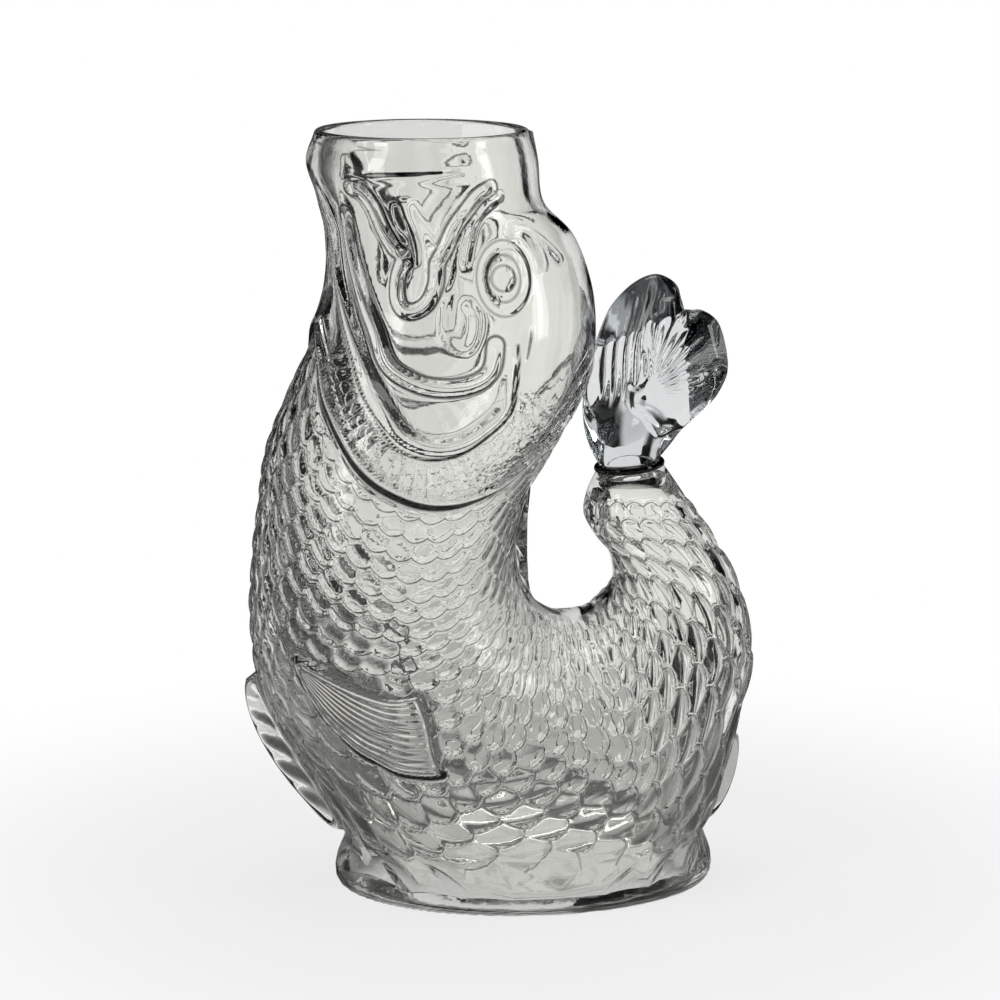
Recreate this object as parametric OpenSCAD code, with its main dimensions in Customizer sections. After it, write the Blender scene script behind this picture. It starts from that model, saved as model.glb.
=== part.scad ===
// Gurgle jug: a fish standing on its belly, mouth up, with the tail curled back as the handle.
// The hollow body is one blown glass shell. A glass bead joins a solid glass tail fin to its closed stub.
// X runs from belly to tail, Y across the fish, Z up. The origin is the middle of the foot's flat underside.

/* [Body] */
// Height of the jug at the rim
jug_h = 250; // [200:1:300]
// Length of the fish from the front of the belly to the outer bend of the tail
body_l = 166; // [140:1:190]
// Width across the flanks at the fullest place
body_w = 94; // [80:1:110]
// Thickness of the blown wall
wall = 3; // [2:0.1:4]
// Thickness of the glass in the bottom
base_t = 4; // [3:0.1:7]

/* [Mouth] */
// Outer diameter of the rim
mouth_d = 69; // [56:0.5:78]
// How far the collar swells beyond the rim
collar_bulge = 2.5; // [1:0.1:4]
// Depth of the collar's fullest line below the rim
collar_drop = 10.5; // [6:0.5:14]

/* [Foot] */
// Length of the oval foot
foot_l = 126; // [112:1:140]
// Width of the oval foot
foot_w = 92; // [80:1:104]
// Height of the foot, up to the waist
foot_h = 16.5; // [13:0.5:22]
// Height of the foot's widest line
foot_line_h = 4.5; // [3:0.1:7]
// How far the foot is drawn in below its widest line
foot_under = 3; // [1:0.1:5]
// How far the foot is drawn in above its widest line
foot_shoulder = 9; // [6:0.1:12]

/* [Tail] */
// Diameter of the closed stub that the fin is joined to
stub_d = 23; // [19:0.5:27]
// Lean of the stub's end face, rising away from the head
stub_lean = 6; // [0:0.5:12]
// Thickness of the glass bead between stub and fin
bead_t = 3; // [2:0.1:5]
// How far the bead stands out round the stub
bead_proud = 0.6; // [0.2:0.1:1.5]
// Height of the fin above the bead
fin_h = 60; // [48:1:72]
// Spread of the fin's two lobes
fin_w = 49; // [40:1:58]
// Diameter of the fin's root
fin_root_d = 20; // [16:0.5:22]
// Thickness of the lobe nearer the head
near_lobe_t = 12; // [8:0.5:15]
// Thickness of the lobe at the outside
far_lobe_t = 17; // [12:0.5:20]
// Thickness of the fin's outer edge
fin_edge_t = 2; // [1:0.1:3]
// Depth of the grooves between the fin's rays
ray_depth = 1; // [0.5:0.1:1.5]
// Number of rays in the fin
ray_n = 10; // [6:1:12]

/* [Relief] */
// Height of the ridges of gill, jaw and lips above the skin
ridge_h = 1.6; // [1:0.1:2.5]
// Width across the eye ring
eye_w = 17; // [12:0.5:20]
// Height of the eye ring
eye_h = 22; // [16:0.5:26]
// Diameter of the pupil
pupil_d = 7.5; // [5:0.5:10]
// How far the fin under the belly stands out
belly_fin_h = 8; // [5:0.5:11]
// How far the small fin behind the foot stands out
vent_fin_h = 5; // [3:0.5:7]
// Thickness of those two fins
blade_t = 4; // [3:0.1:6]
// Number of rays on each of them
blade_ray_n = 6; // [4:1:8]
// Height of the side fins above the skin
side_fin_h = 2; // [1:0.1:3]

/* [Hidden] */

// Fineness of the shell: lines along the fish and points round it, outside and inside
outer_n = 52;
outer_round_n = 36;
inner_n = 20;
inner_round_n = 28;
// Fineness of the fin: strips across it and lines up it
strip_n = 36;
rise_n = 16;
// Fineness of the relief: sides of a ridge, points round the eye ring and its section, points round the
// pupil, steps along a fin in the middle plane, points round a ball at the end of its rays
ridge_side_n = 4;
eye_n = 24;
eye_side_n = 6;
pupil_n = 16;
blade_n = 14;
ray_ball_n = 8;
// Points round the bead and round its edge
bead_n = 64;
bead_edge_n = 32;
// Points round the foot, and the turn between points of its rounded edge and of the lip
foot_n = 48;
foot_turn = 30;
lip_turns = [40, 75];
// Overrun of cuts
cut = 1;
// A step along or round the skin, as a share, used to find its direction
step_share = 0.002;

mouth_r = mouth_d / 2;
stub_r = stub_d / 2;
fin_root_r = fin_root_d / 2;
lip_r = wall / 2;

// Middle of the mouth and of the stub's end
mouth_x_share = -0.2;
stub_x_share = 0.21;
stub_z_share = 0.55;
mouth_x = mouth_x_share * body_l;
stub_x = stub_x_share * body_l;
stub_z = stub_z_share * jug_h;

// Stations of the fish from below the collar to the stub, one row for each section:
// the back line's x and z, the belly line's x and z, and half the width.
// Shares of the body's length, the jug's height and the body's width.
fish_shares = [
    [0.035, 0.905, -0.400, 0.910, 0.385],
    [0.095, 0.860, -0.385, 0.865, 0.400],
    [0.130, 0.790, -0.390, 0.790, 0.430],
    [0.130, 0.715, -0.415, 0.730, 0.455],
    [0.100, 0.645, -0.465, 0.660, 0.475],
    [0.050, 0.580, -0.510, 0.585, 0.485],
    [0.000, 0.525, -0.525, 0.520, 0.490],
    [-0.020, 0.465, -0.540, 0.440, 0.495],
    [-0.015, 0.415, -0.545, 0.350, 0.500],
    [0.005, 0.385, -0.520, 0.260, 0.500],
    [0.035, 0.370, -0.415, 0.135, 0.500],
    [0.065, 0.360, -0.270, 0.000, 0.495],
    [0.095, 0.360, 0.000, -0.035, 0.475],
    [0.130, 0.365, 0.240, -0.030, 0.440],
    [0.155, 0.380, 0.370, 0.080, 0.395],
    [0.175, 0.395, 0.428, 0.205, 0.345],
    [0.180, 0.410, 0.460, 0.300, 0.300],
    [0.170, 0.440, 0.435, 0.390, 0.260],
    [0.145, 0.460, 0.385, 0.455, 0.225],
    [0.120, 0.490, 0.345, 0.495, 0.195],
    [0.125, 0.520, 0.315, 0.520, 0.165]];

// Fullness of a section: 2 is an ellipse, more is squarer. The mouth and the stub are round, and the
// sections turn square over so many rows from each.
round_power = 2;
body_power = 2.15;
round_rows = [3, 2];

// Lines of the relief on one flank: a share of the way from mouth to stub, and a share of the way
// from the back line round to the belly line. The steps are those along each ridge.
gill_shares = [[0.205, 0.97], [0.226, 0.88], [0.253, 0.80], [0.280, 0.71], [0.300, 0.64], [0.316, 0.57],
    [0.330, 0.48], [0.332, 0.40], [0.322, 0.32], [0.308, 0.27], [0.293, 0.23]];
cheek_shares = [[0.109, 0.90], [0.146, 0.89], [0.173, 0.84], [0.204, 0.78], [0.233, 0.71], [0.256, 0.64],
    [0.273, 0.58], [0.281, 0.51], [0.279, 0.45], [0.269, 0.41], [0.253, 0.38], [0.233, 0.39], [0.203, 0.41]];
jaw_shares = [[0.094, 0.80], [0.131, 0.82], [0.160, 0.79], [0.194, 0.73], [0.221, 0.68], [0.234, 0.60],
    [0.237, 0.53], [0.233, 0.47], [0.223, 0.44], [0.203, 0.44]];
lip_shares = [[0.068, 0.68], [0.090, 0.66], [0.122, 0.68], [0.147, 0.67], [0.169, 0.68], [0.174, 0.65],
    [0.171, 0.62], [0.160, 0.60], [0.143, 0.58], [0.114, 0.52], [0.077, 0.43]];
gill_n = 13;
cheek_n = 15;
jaw_n = 11;
lip_n = 12;
// Thickness of a ridge at its ends, and height of the pupil's dome
ridge_end_share = 0.3;
pupil_dome_share = 0.6;
eye_along_share = 0.152;
eye_around_share = 0.411;

// Spans of the belly fin and the vent fin, from mouth to stub, how full their outline is, where less is
// fuller, and the slant of their rays along that way
belly_fin_shares = [0.464, 0.540];
vent_fin_shares = [0.692, 0.735];
blade_power = 0.4;
ray_slant_share = 0.012;

// The side fin from root to tip: its upper edge and its lower edge, each a share along and a share around
side_fin_shares = [
    [0.445, 0.72, 0.450, 0.745],
    [0.467, 0.655, 0.478, 0.725],
    [0.487, 0.59, 0.506, 0.70],
    [0.498, 0.51, 0.533, 0.59]];
side_fin_steps = [10, 6];

// The tail fin from the edge near the head round to the outer edge: the end of each ray, and the point
// that its curve leans to. Shares of the fin's spread and of its height.
fin_shares = [
    [-0.160, 0.630, -0.370, 0.270],
    [-0.100, 0.735, -0.330, 0.300],
    [-0.020, 0.850, -0.270, 0.330],
    [0.090, 0.935, -0.200, 0.370],
    [0.200, 0.985, -0.120, 0.380],
    [0.300, 1.000, -0.060, 0.400],
    [0.385, 0.970, 0.000, 0.400],
    [0.440, 0.915, 0.060, 0.400],
    [0.470, 0.790, 0.120, 0.380],
    [0.580, 0.775, 0.150, 0.370],
    [0.665, 0.725, 0.165, 0.350],
    [0.705, 0.650, 0.185, 0.325],
    [0.725, 0.525, 0.205, 0.300],
    [0.720, 0.430, 0.235, 0.260],
    [0.680, 0.360, 0.260, 0.215],
    [0.600, 0.280, 0.290, 0.150],
    [0.430, 0.200, 0.330, 0.085]];
// Where the near lobe passes behind the far one, at the root and at the tip, across the fin
crease_shares = [0.36, 0.50];
// Half the width of that step, how far up the lobes are full, and where the rays start and fade
crease_soft_share = 0.03;
full_lobe_share = 0.6;
ray_start_share = 0.35;
ray_fade_share = 0.8;
// Roundness of the fin's outer edge, and of its two side edges at the root and at the tip
edge_power = 6;
side_powers = [0.5, 0.35];

// Point on a smooth curve through the rows of a table, at a place counted in rows
function through(rows, at) =
    let(last = len(rows) - 1, i = max(0, min(floor(at), last - 1)), u = at - i,
        b = rows[i], c = rows[i + 1],
        a = i > 0 ? rows[i - 1] : 2 * b - c,
        d = i + 2 <= last ? rows[i + 2] : 2 * c - b)
    (2 * b + (c - a) * u + (2 * a - 5 * b + 4 * c - d) * u * u + (3 * b - a - 3 * c + d) * u * u * u) / 2;

// The same with the place given as a share of the table's length
function at_share(rows, share) = through(rows, share * (len(rows) - 1));

function clamp01(v) = max(0, min(1, v));
function soft_step(low, high, v) = let(u = clamp01((v - low) / (high - low))) u * u * (3 - 2 * u);
function mix(a, b, u) = a + (b - a) * u;
function unit(v) = v / norm(v);

// Sections of the fish, drawn in by a depth from the outer skin
function ring_station(x, z, r) = [x + r, z, x - r, z, r];
function fish_station(s, depth) =
    let(back = [s[0] * body_l, s[1] * jug_h], belly = [s[2] * body_l, s[3] * jug_h],
        inward = unit(belly - back) * depth, p = back + inward, q = belly - inward)
    [p[0], p[1], q[0], q[1], s[4] * body_w - depth];
function stub_station(depth) =
    let(r = stub_r - depth, across = [cos(stub_lean), sin(stub_lean)],
        down = [sin(stub_lean), -cos(stub_lean)],
        mid = [stub_x, stub_z] + down * depth, p = mid - across * r, q = mid + across * r)
    [p[0], p[1], q[0], q[1], r];
function stations(depth) = concat(
    [ring_station(mouth_x, jug_h - lip_r, mouth_r - depth),
     ring_station(mouth_x, jug_h - collar_drop, mouth_r + collar_bulge - depth)],
    [for (s = fish_shares) fish_station(s, depth)],
    [stub_station(depth)]);

OUTER = stations(0);
INNER = stations(wall);

// Point of the skin at a share of the way from mouth to stub and a turn from the back line,
// no lower than the floor
function skin(table, floor_z, share, turn) =
    let(s = at_share(table, share), last = len(table) - 1,
        back = [s[0], s[1]], belly = [s[2], s[3]], mid = (back + belly) / 2,
        half = norm(belly - back) / 2, dir = (belly - back) / half / 2,
        square = clamp01(share * last / round_rows[0]) * clamp01((1 - share) * last / round_rows[1]),
        power = mix(round_power, body_power, square),
        c = -cos(turn), sn = sin(turn), from = [mid[0], 0, mid[1]], ray = [c * dir[0], sn, c * dir[1]],
        reach = pow(pow(abs(c) / half, power) + pow(abs(sn) / s[4], power), -1 / power),
        drop = ray[2] < 0 ? (floor_z - from[2]) / ray[2] : 2 * reach,
        p = from + min(reach, drop) * ray)
    drop <= reach ? [p[0], p[1], floor_z] : p;

// The outside ends within the foot, and the inside on the glass of the bottom
function outer_skin(share, turn) = skin(OUTER, foot_line_h, share, turn);
function inner_skin(share, turn) = skin(INNER, base_t, share, turn);

// Place on one flank, lifted off the skin: shares along and around
function on_skin(place) = outer_skin(place[0], 180 * place[1]);
function on_flank(place, lift) = on_skin(place) + lift * flank_normal(place);
function flank_slope(place, step) = unit(on_skin(place + step) - on_skin(place - step));
function flank_along(place) = flank_slope(place, [step_share, 0]);
function flank_around(place) = flank_slope(place, [0, step_share]);
function flank_normal(place) = unit(cross(flank_along(place), flank_around(place)));

// The belly line and its outward direction in the middle plane, lifted off the skin
function belly_line(share, lift) =
    let(s = at_share(OUTER, share),
        run = at_share(OUTER, share + step_share) - at_share(OUTER, share - step_share),
        d = unit([run[2], run[3]]))
    [s[2] + lift * d[1], s[3] - lift * d[0]];

// Faces of a tube of rings, closed by flat caps
function tube_faces(rings, n) = concat(
    [[for (j = [0 : n - 1]) j]],
    [[for (j = [n - 1 : -1 : 0]) (rings - 1) * n + j]],
    [for (i = [0 : rings - 2], j = [0 : n - 1])
        let(a = i * n + j, b = i * n + (j + 1) % n)
        each [[a, a + n, b + n], [a, b + n, b]]]);

module tube(rings) {
    polyhedron(points = [for (r = rings) each r], faces = tube_faces(len(rings), len(rings[0])));
}

// A closed plate between two grids of points, the second one on the outside
module plate(inside, outside) {
    rows = len(outside);
    cols = len(outside[0]);
    size = rows * cols;
    edge = concat([for (j = [0 : cols - 1]) j], [for (i = [1 : rows - 1]) i * cols + cols - 1],
        [for (j = [cols - 2 : -1 : 0]) (rows - 1) * cols + j], [for (i = [rows - 2 : -1 : 1]) i * cols]);
    rim = [for (k = [0 : len(edge) - 1]) [edge[k], edge[(k + 1) % len(edge)]]];
    cells = [for (i = [0 : rows - 2], j = [0 : cols - 2]) i * cols + j];
    polyhedron(
        points = concat([for (r = outside) each r], [for (r = inside) each r]),
        faces = concat(
            [for (c = cells) [c, c + 1, c + cols + 1]],
            [for (c = cells) [c, c + cols + 1, c + cols]],
            [for (c = cells) [size + c, size + c + cols + 1, size + c + 1]],
            [for (c = cells) [size + c, size + c + cols, size + c + cols + 1]],
            [for (e = rim) each [[e[1], e[0], size + e[0]], [e[1], size + e[0], size + e[1]]]]));
}

module both_flanks() {
    children();
    mirror([0, 1, 0]) children();
}

// Turns of the points round a ring, and rings of the round lip on the outside or the inside of the rim
function turns(n) = [for (j = [0 : n - 1]) 360 * j / n];
function lip_rings(side, n) = [for (g = lip_turns)
    let(r = mouth_r - lip_r + side * lip_r * cos(g), z = jug_h - lip_r + lip_r * sin(g) / sin(lip_turns[1]))
    [for (a = turns(n)) [mouth_x + r * cos(a), r * sin(a), z]]];

// The fish blown full, from the stub up to the top of the lip
module fish() {
    n = outer_round_n;
    skin_rings = [for (i = [outer_n : -1 : 0]) [for (a = turns(n)) outer_skin(i / outer_n, a)]];
    tube(concat(skin_rings, lip_rings(1, n)));
}

// The air inside it, with a plug of air above the mouth
module hollow() {
    n = inner_round_n;
    skin_rings = [for (i = [inner_n : -1 : 0]) [for (a = turns(n)) inner_skin(i / inner_n, a)]];
    lip = lip_rings(-1, n);
    above = [for (p = lip[1]) p + [0, 0, cut]];
    tube(concat(skin_rings, lip, [above]));
}

// The oval foot: a round edge from the resting face out to the widest line and in again to the waist
module foot() {
    r = foot_l / 2;
    low = [for (g = [0 : foot_turn : 90]) [r - foot_under * (1 - sin(g)), foot_line_h * (1 - cos(g))]];
    high = [for (g = [foot_turn : foot_turn : 90])
        [r - foot_shoulder * (1 - cos(g)), foot_line_h + (foot_h - foot_line_h) * sin(g)]];
    scale([1, foot_w / foot_l, 1]) rotate_extrude($fn = foot_n)
        polygon(concat([[0, 0]], low, high, [[0, foot_h]]));
}

// The air inside the foot, from the glass of the bottom up to a wall below the foot's own top
module foot_hollow() {
    r = foot_l / 2 - wall;
    edge = [for (g = [0 : foot_turn : 90])
        [r - foot_shoulder * (1 - cos(g)), mix(base_t, foot_h - wall, sin(g))]];
    scale([1, (foot_w / 2 - wall) / r, 1]) rotate_extrude($fn = foot_n)
        polygon(concat([[0, base_t]], edge, [[0, foot_h - wall]]));
}

// A rounded ridge along a line on the flank, thinned out at both ends
module ridge(shares, steps) {
    places = [for (i = [0 : steps]) at_share(shares, i / steps)];
    spots = [for (p = places) on_flank(p, 0)];
    tube([for (i = [0 : steps])
        let(t = unit(spots[min(i + 1, steps)] - spots[max(i - 1, 0)]),
            n = flank_normal(places[i]), b = cross(t, n),
            r = ridge_h * mix(ridge_end_share, 1, sqrt(sin(180 * i / steps))))
        [for (a = turns(ridge_side_n)) spots[i] + r * (cos(a) * n + sin(a) * b)]]);
}

// A ring round the eye and the pupil in it
module eye() {
    place = [eye_along_share, eye_around_share];
    x = flank_around(place);
    z = flank_normal(place);
    y = cross(z, x);
    o = on_flank(place, 0);
    multmatrix([[x[0], y[0], z[0], o[0]], [x[1], y[1], z[1], o[1]], [x[2], y[2], z[2], o[2]]]) {
        scale([1, eye_h / eye_w, 1])
            rotate_extrude($fn = eye_n)
                translate([eye_w / 2 - ridge_h, 0]) circle(ridge_h, $fn = eye_side_n);
        scale([1, 1, pupil_dome_share]) sphere(d = pupil_d, $fn = pupil_n);
    }
}

// A fin in the middle plane that follows the belly line, with slanted rays
module blade(span, h) {
    ways = [for (i = [0 : blade_n]) i / blade_n];
    lift = function(u) h * pow(sin(180 * u), blade_power);
    outline = concat(
        [for (u = ways) belly_line(mix(span[0], span[1], u), lift(u))],
        [for (u = ways) belly_line(mix(span[1], span[0], u), -wall)]);
    rotate([90, 0, 0]) linear_extrude(blade_t, center = true) polygon(outline);
    for (i = [1 : blade_ray_n - 1]) {
        u = i / blade_ray_n;
        a = belly_line(mix(span[0], span[1], u) - ray_slant_share, 0);
        b = belly_line(mix(span[0], span[1], u), lift(u) - blade_t / 2);
        hull() for (p = [a, b])
            translate([p[0], 0, p[1]]) sphere(d = blade_t + ridge_h / 2, $fn = ray_ball_n);
    }
}

// A side fin lying on the flank
module side_fin() {
    place = function(u, v) let(s = at_share(side_fin_shares, u)) [mix(s[0], s[2], v), mix(s[1], s[3], v)];
    grid = function(lift) [for (i = [0 : side_fin_steps[0]]) [for (j = [0 : side_fin_steps[1]])
        on_flank(place(i / side_fin_steps[0], j / side_fin_steps[1]), lift)]];
    plate(grid(-wall / 2), grid(side_fin_h));
}

module body() {
    color([0.85, 0.87, 0.87, 0.45]) difference() {
        union() {
            fish();
            foot();
            blade(belly_fin_shares, belly_fin_h);
            blade(vent_fin_shares, vent_fin_h);
            both_flanks() {
                side_fin();
                ridge(gill_shares, gill_n);
                ridge(cheek_shares, cheek_n);
                ridge(jaw_shares, jaw_n);
                ridge(lip_shares, lip_n);
                eye();
            }
        }
        hollow();
        foot_hollow();
    }
}

// Places what is joined to the stub in the frame of its leaning end face
module on_stub(lift) {
    translate([stub_x, 0, stub_z]) rotate([0, -stub_lean, 0]) translate([0, 0, lift]) children();
}

module tail_bead() {
    r = stub_r + bead_proud - bead_t / 2;
    color([0.85, 0.87, 0.87, 0.45]) on_stub(0) rotate_extrude($fn = bead_n) union() {
        translate([r, bead_t / 2]) circle(d = bead_t, $fn = bead_edge_n);
        square([r, bead_t]);
    }
}

// Point of the fin: across it, up it, and on which face
function fin_point(across, up, face) =
    let(s = at_share(fin_shares, across), root = [fin_root_r * (2 * across - 1), 0],
        lean = [s[2] * fin_w, s[3] * fin_h], end = [s[0] * fin_w, s[1] * fin_h],
        p = root * (1 - up) * (1 - up) + lean * 2 * up * (1 - up) + end * up * up,
        crease = mix(crease_shares[0], crease_shares[1], up),
        past = soft_step(crease - crease_soft_share, crease + crease_soft_share, across),
        lobe = mix(near_lobe_t, far_lobe_t, past) / 2,
        swell = mix(fin_root_r, lobe, soft_step(0, full_lobe_share, up)),
        thick = swell * sqrt(1 - pow(up, edge_power)) + fin_edge_t / 2 * up,
        shown = soft_step(ray_start_share, 2 * ray_start_share, up) * (1 - soft_step(ray_fade_share, 1, up)),
        ray = ray_depth * (1 - cos(360 * ray_n * across)) / 2 * shown,
        side = pow(4 * across * (1 - across), mix(side_powers[0], side_powers[1], up)))
    [p[0], face * (thick - ray) * side, p[1]];

module tail_fin() {
    front = [for (i = [0 : strip_n]) i / strip_n];
    ring = function(up) concat([for (a = front) fin_point(a, up, -1)],
        [for (i = [strip_n - 1 : -1 : 1]) fin_point(i / strip_n, up, 1)]);
    n = 2 * strip_n;
    caps = function(base, flip) [for (i = [0 : strip_n - 1])
        let(a = base + i, b = base + i + 1, c = base + (n - i - 1) % n, d = base + (n - i) % n)
        each flip ? [[a, c, b], [a, d, c]] : [[a, b, c], [a, c, d]]];
    sides = [for (i = [0 : rise_n - 1], j = [0 : n - 1]) let(k = (j + 1) % n)
        each [[i * n + j, (i + 1) * n + j, (i + 1) * n + k], [i * n + j, (i + 1) * n + k, i * n + k]]];
    clean = function(faces) [for (f = faces) if (f[0] != f[1] && f[1] != f[2] && f[2] != f[0]) f];
    color([0.42, 0.49, 0.56, 0.7]) on_stub(bead_t)
        polyhedron(points = [for (i = [0 : rise_n]) each ring(i / rise_n)],
            faces = clean(concat(caps(0, false), caps(rise_n * n, true), sides)));
}

body();
tail_bead();
tail_fin();
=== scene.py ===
"""A gurgle jug in moulded glass: a fish that stands on its belly, mouth up, with a smoky glass tail fin.

The fish's skin is one smooth function of two parameters, a share of the way along the fish from mouth to
stub and a turn about it from the back line. Everything that the mould adds, such as gill, lips, eye, side
fins and scales, is a height over that skin. Sizes are in millimetres, and MM turns them into metres.
"""

import logging
from dataclasses import dataclass, field
from enum import Enum
from typing import Callable, Protocol

import bpy
import numpy as np
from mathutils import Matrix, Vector


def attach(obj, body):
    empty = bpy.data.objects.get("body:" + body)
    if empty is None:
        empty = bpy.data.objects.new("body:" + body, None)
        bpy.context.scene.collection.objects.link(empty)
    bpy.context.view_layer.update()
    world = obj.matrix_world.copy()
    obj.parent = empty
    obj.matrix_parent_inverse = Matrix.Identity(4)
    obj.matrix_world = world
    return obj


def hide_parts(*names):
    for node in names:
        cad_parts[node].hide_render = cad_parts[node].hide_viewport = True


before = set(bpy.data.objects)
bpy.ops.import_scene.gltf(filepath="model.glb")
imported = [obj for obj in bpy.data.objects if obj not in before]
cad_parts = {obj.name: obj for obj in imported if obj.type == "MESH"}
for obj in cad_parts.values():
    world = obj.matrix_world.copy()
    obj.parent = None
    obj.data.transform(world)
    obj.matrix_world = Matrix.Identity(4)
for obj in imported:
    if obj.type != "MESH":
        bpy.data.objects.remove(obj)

LOG = logging.getLogger("gurgle_jug")
MM = 0.001
TINY = 1e-6
SHORTEST = 1e-12
BODY = "root"

Array = np.ndarray
Span = tuple[float, float]
Triple = tuple[float, float, float]
Band = tuple[float, float, float, float]
Places = tuple[Span, ...]
Socket = bpy.types.NodeSocket
Tree = bpy.types.NodeTree
# Numbers over the outer skin, by name
Marks = dict[str, Array]
# Height of fine lines in millimetres, and how much painted shade darkens their creases
Seams = tuple[Socket | float, Socket | float]


def smooth_step(low: float, high: float, value: Array) -> Array:
    """Returns 0 below low, 1 above high and the cubic 3u^2 - 2u^3 between them."""
    share = np.clip((value - low) / (high - low), 0.0, 1.0)
    return share * share * (3.0 - 2.0 * share)


def mix(first: Array, second: Array, share: Array) -> Array:
    """Returns the straight blend from first, at share 0, to second, at share 1."""
    return first + (second - first) * share


def rounded(distance: Array, half_width: float) -> Array:
    """Returns a raised cosine: 1 at no distance, 0 from half_width on."""
    return 0.5 + 0.5 * np.cos(np.pi * np.clip(np.abs(distance) / half_width, 0.0, 1.0))


def soft_least(first: Array, second: Array, blend: float) -> Array:
    """Returns the lesser of two values, rounded off by a parabola where they differ by less than blend."""
    share = np.clip(0.5 + 0.5 * (second - first) / blend, 0.0, 1.0)
    return mix(second, first, share) - blend * share * (1 - share)


def unit(vectors: Array) -> Array:
    """Returns the vectors at length 1."""
    return vectors / np.maximum(np.linalg.norm(vectors, axis=-1, keepdims=True), SHORTEST)


def through(rows: Array, at: Array) -> Array:
    """Catmull-Rom curve through the rows of a table.

    Args:
        rows: The table, one knot in each row.
        at: Places counted in rows.

    Returns:
        The curve's points, with the shape of at and one more axis. Between knots b and c, with neighbours
        a and d, it is (2b + (c-a)u + (2a-5b+4c-d)u^2 + (3b-a-3c+d)u^3) / 2.
    """
    first = np.clip(np.floor(at).astype(int), 0, len(rows) - 2)
    u = (at - first)[..., None]
    ends = np.vstack([2 * rows[0] - rows[1], rows, 2 * rows[-1] - rows[-2]])
    a, b, c, d = (ends[first + k] for k in range(4))
    return 0.5 * (2 * b + (c - a) * u + (2 * a - 5 * b + 4 * c - d) * u**2 + (3 * b - a - 3 * c + d) * u**3)


def path_gap(points: Array, path: Array) -> tuple[Array, Array]:
    """Least distance from points to a path of straight runs.

    Args:
        points: Any array of points, the last axis being x, y, z.
        path: The path's knots.

    Returns:
        The distance to the path, and the share of its knots passed at the nearest place.
    """
    best = np.full(points.shape[:-1], np.inf)
    share = np.zeros(points.shape[:-1])
    for i, (start, end) in enumerate(zip(path[:-1], path[1:])):
        run = end - start
        along = np.clip((points - start) @ run / (run @ run), 0.0, 1.0)
        gap = np.linalg.norm(points - start - along[..., None] * run, axis=-1)
        share = np.where(gap < best, (i + along) / (len(path) - 1), share)
        best = np.minimum(best, gap)
    return best, share


def inside_outline(points: Array, outline: Array) -> Array:
    """Which flat points lie inside a closed outline, by counting the edges crossed on the way out.

    Args:
        points: Points in the plane, any shape before the last axis.
        outline: Corners of the outline in order.

    Returns:
        True where the count of crossings is odd.
    """
    odd = np.zeros(points.shape[:-1], bool)
    for a, b in zip(outline, np.roll(outline, -1, axis=0)):
        if a[1] == b[1]:
            continue
        level = (a[1] > points[..., 1]) != (b[1] > points[..., 1])
        cross = a[0] + (points[..., 1] - a[1]) * (b[0] - a[0]) / (b[1] - a[1])
        odd ^= level & (points[..., 0] < cross)
    return odd


def ring_faces(rings: int, count: int) -> list[list[int]]:
    """Quads of a closed tube of rings, wound so that they face out where the rings climb anticlockwise."""
    corner = (np.arange(rings - 1) * count)[:, None] + np.arange(count)
    beside = (np.arange(rings - 1) * count)[:, None] + (np.arange(count) + 1) % count
    return np.stack([corner, beside, beside + count, corner + count], -1).reshape(-1, 4).tolist()


def new_object(name: str, data: bpy.types.ID) -> bpy.types.Object:
    """A new object at the origin, linked into the scene."""
    item = bpy.data.objects.new(name, data)
    bpy.context.scene.collection.objects.link(item)
    return item


def tube_mesh(name: str, rings: Array, poles: tuple[Array, Array]) -> bpy.types.Object:
    """A closed smooth mesh from a stack of rings and a pole at each end.

    Args:
        name: The piece's name.
        rings: Points in millimetres, shaped (rings, points round a ring, 3).
        poles: The first and the last pole.

    Returns:
        The new object, at the origin, with smooth faces that point outwards.
    """
    count, each = rings.shape[:2]
    points = np.vstack([rings.reshape(-1, 3), poles[0], poles[1]]) * MM
    here, beside = np.arange(each), (np.arange(each) + 1) % each
    first, last = count * each, count * each + 1
    low = np.stack([np.full(each, first), beside, here], -1).tolist()
    top = (count - 1) * each
    high = np.stack([np.full(each, last), top + here, top + beside], -1).tolist()
    mesh = bpy.data.meshes.new(name)
    mesh.from_pydata(points.tolist(), [], ring_faces(count, each) + low + high)
    mesh.polygons.foreach_set("use_smooth", np.ones(len(mesh.polygons), bool))
    mesh.validate()
    mesh.update()
    return new_object(name, mesh)


def new_finish(name: str) -> tuple[bpy.types.Material, Tree]:
    """A new material with an empty node tree."""
    material = bpy.data.materials.new(name)
    material.use_nodes = True
    material.node_tree.nodes.clear()
    return material, material.node_tree


class SkinSide(Enum):
    """Which face of the blown wall is meant."""

    OUTER = "outer"
    INNER = "inner"


class Moulding(Enum):
    """How a line of the mould stands on the skin."""

    RIDGE = 1.0
    GROOVE = -1.0


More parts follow.
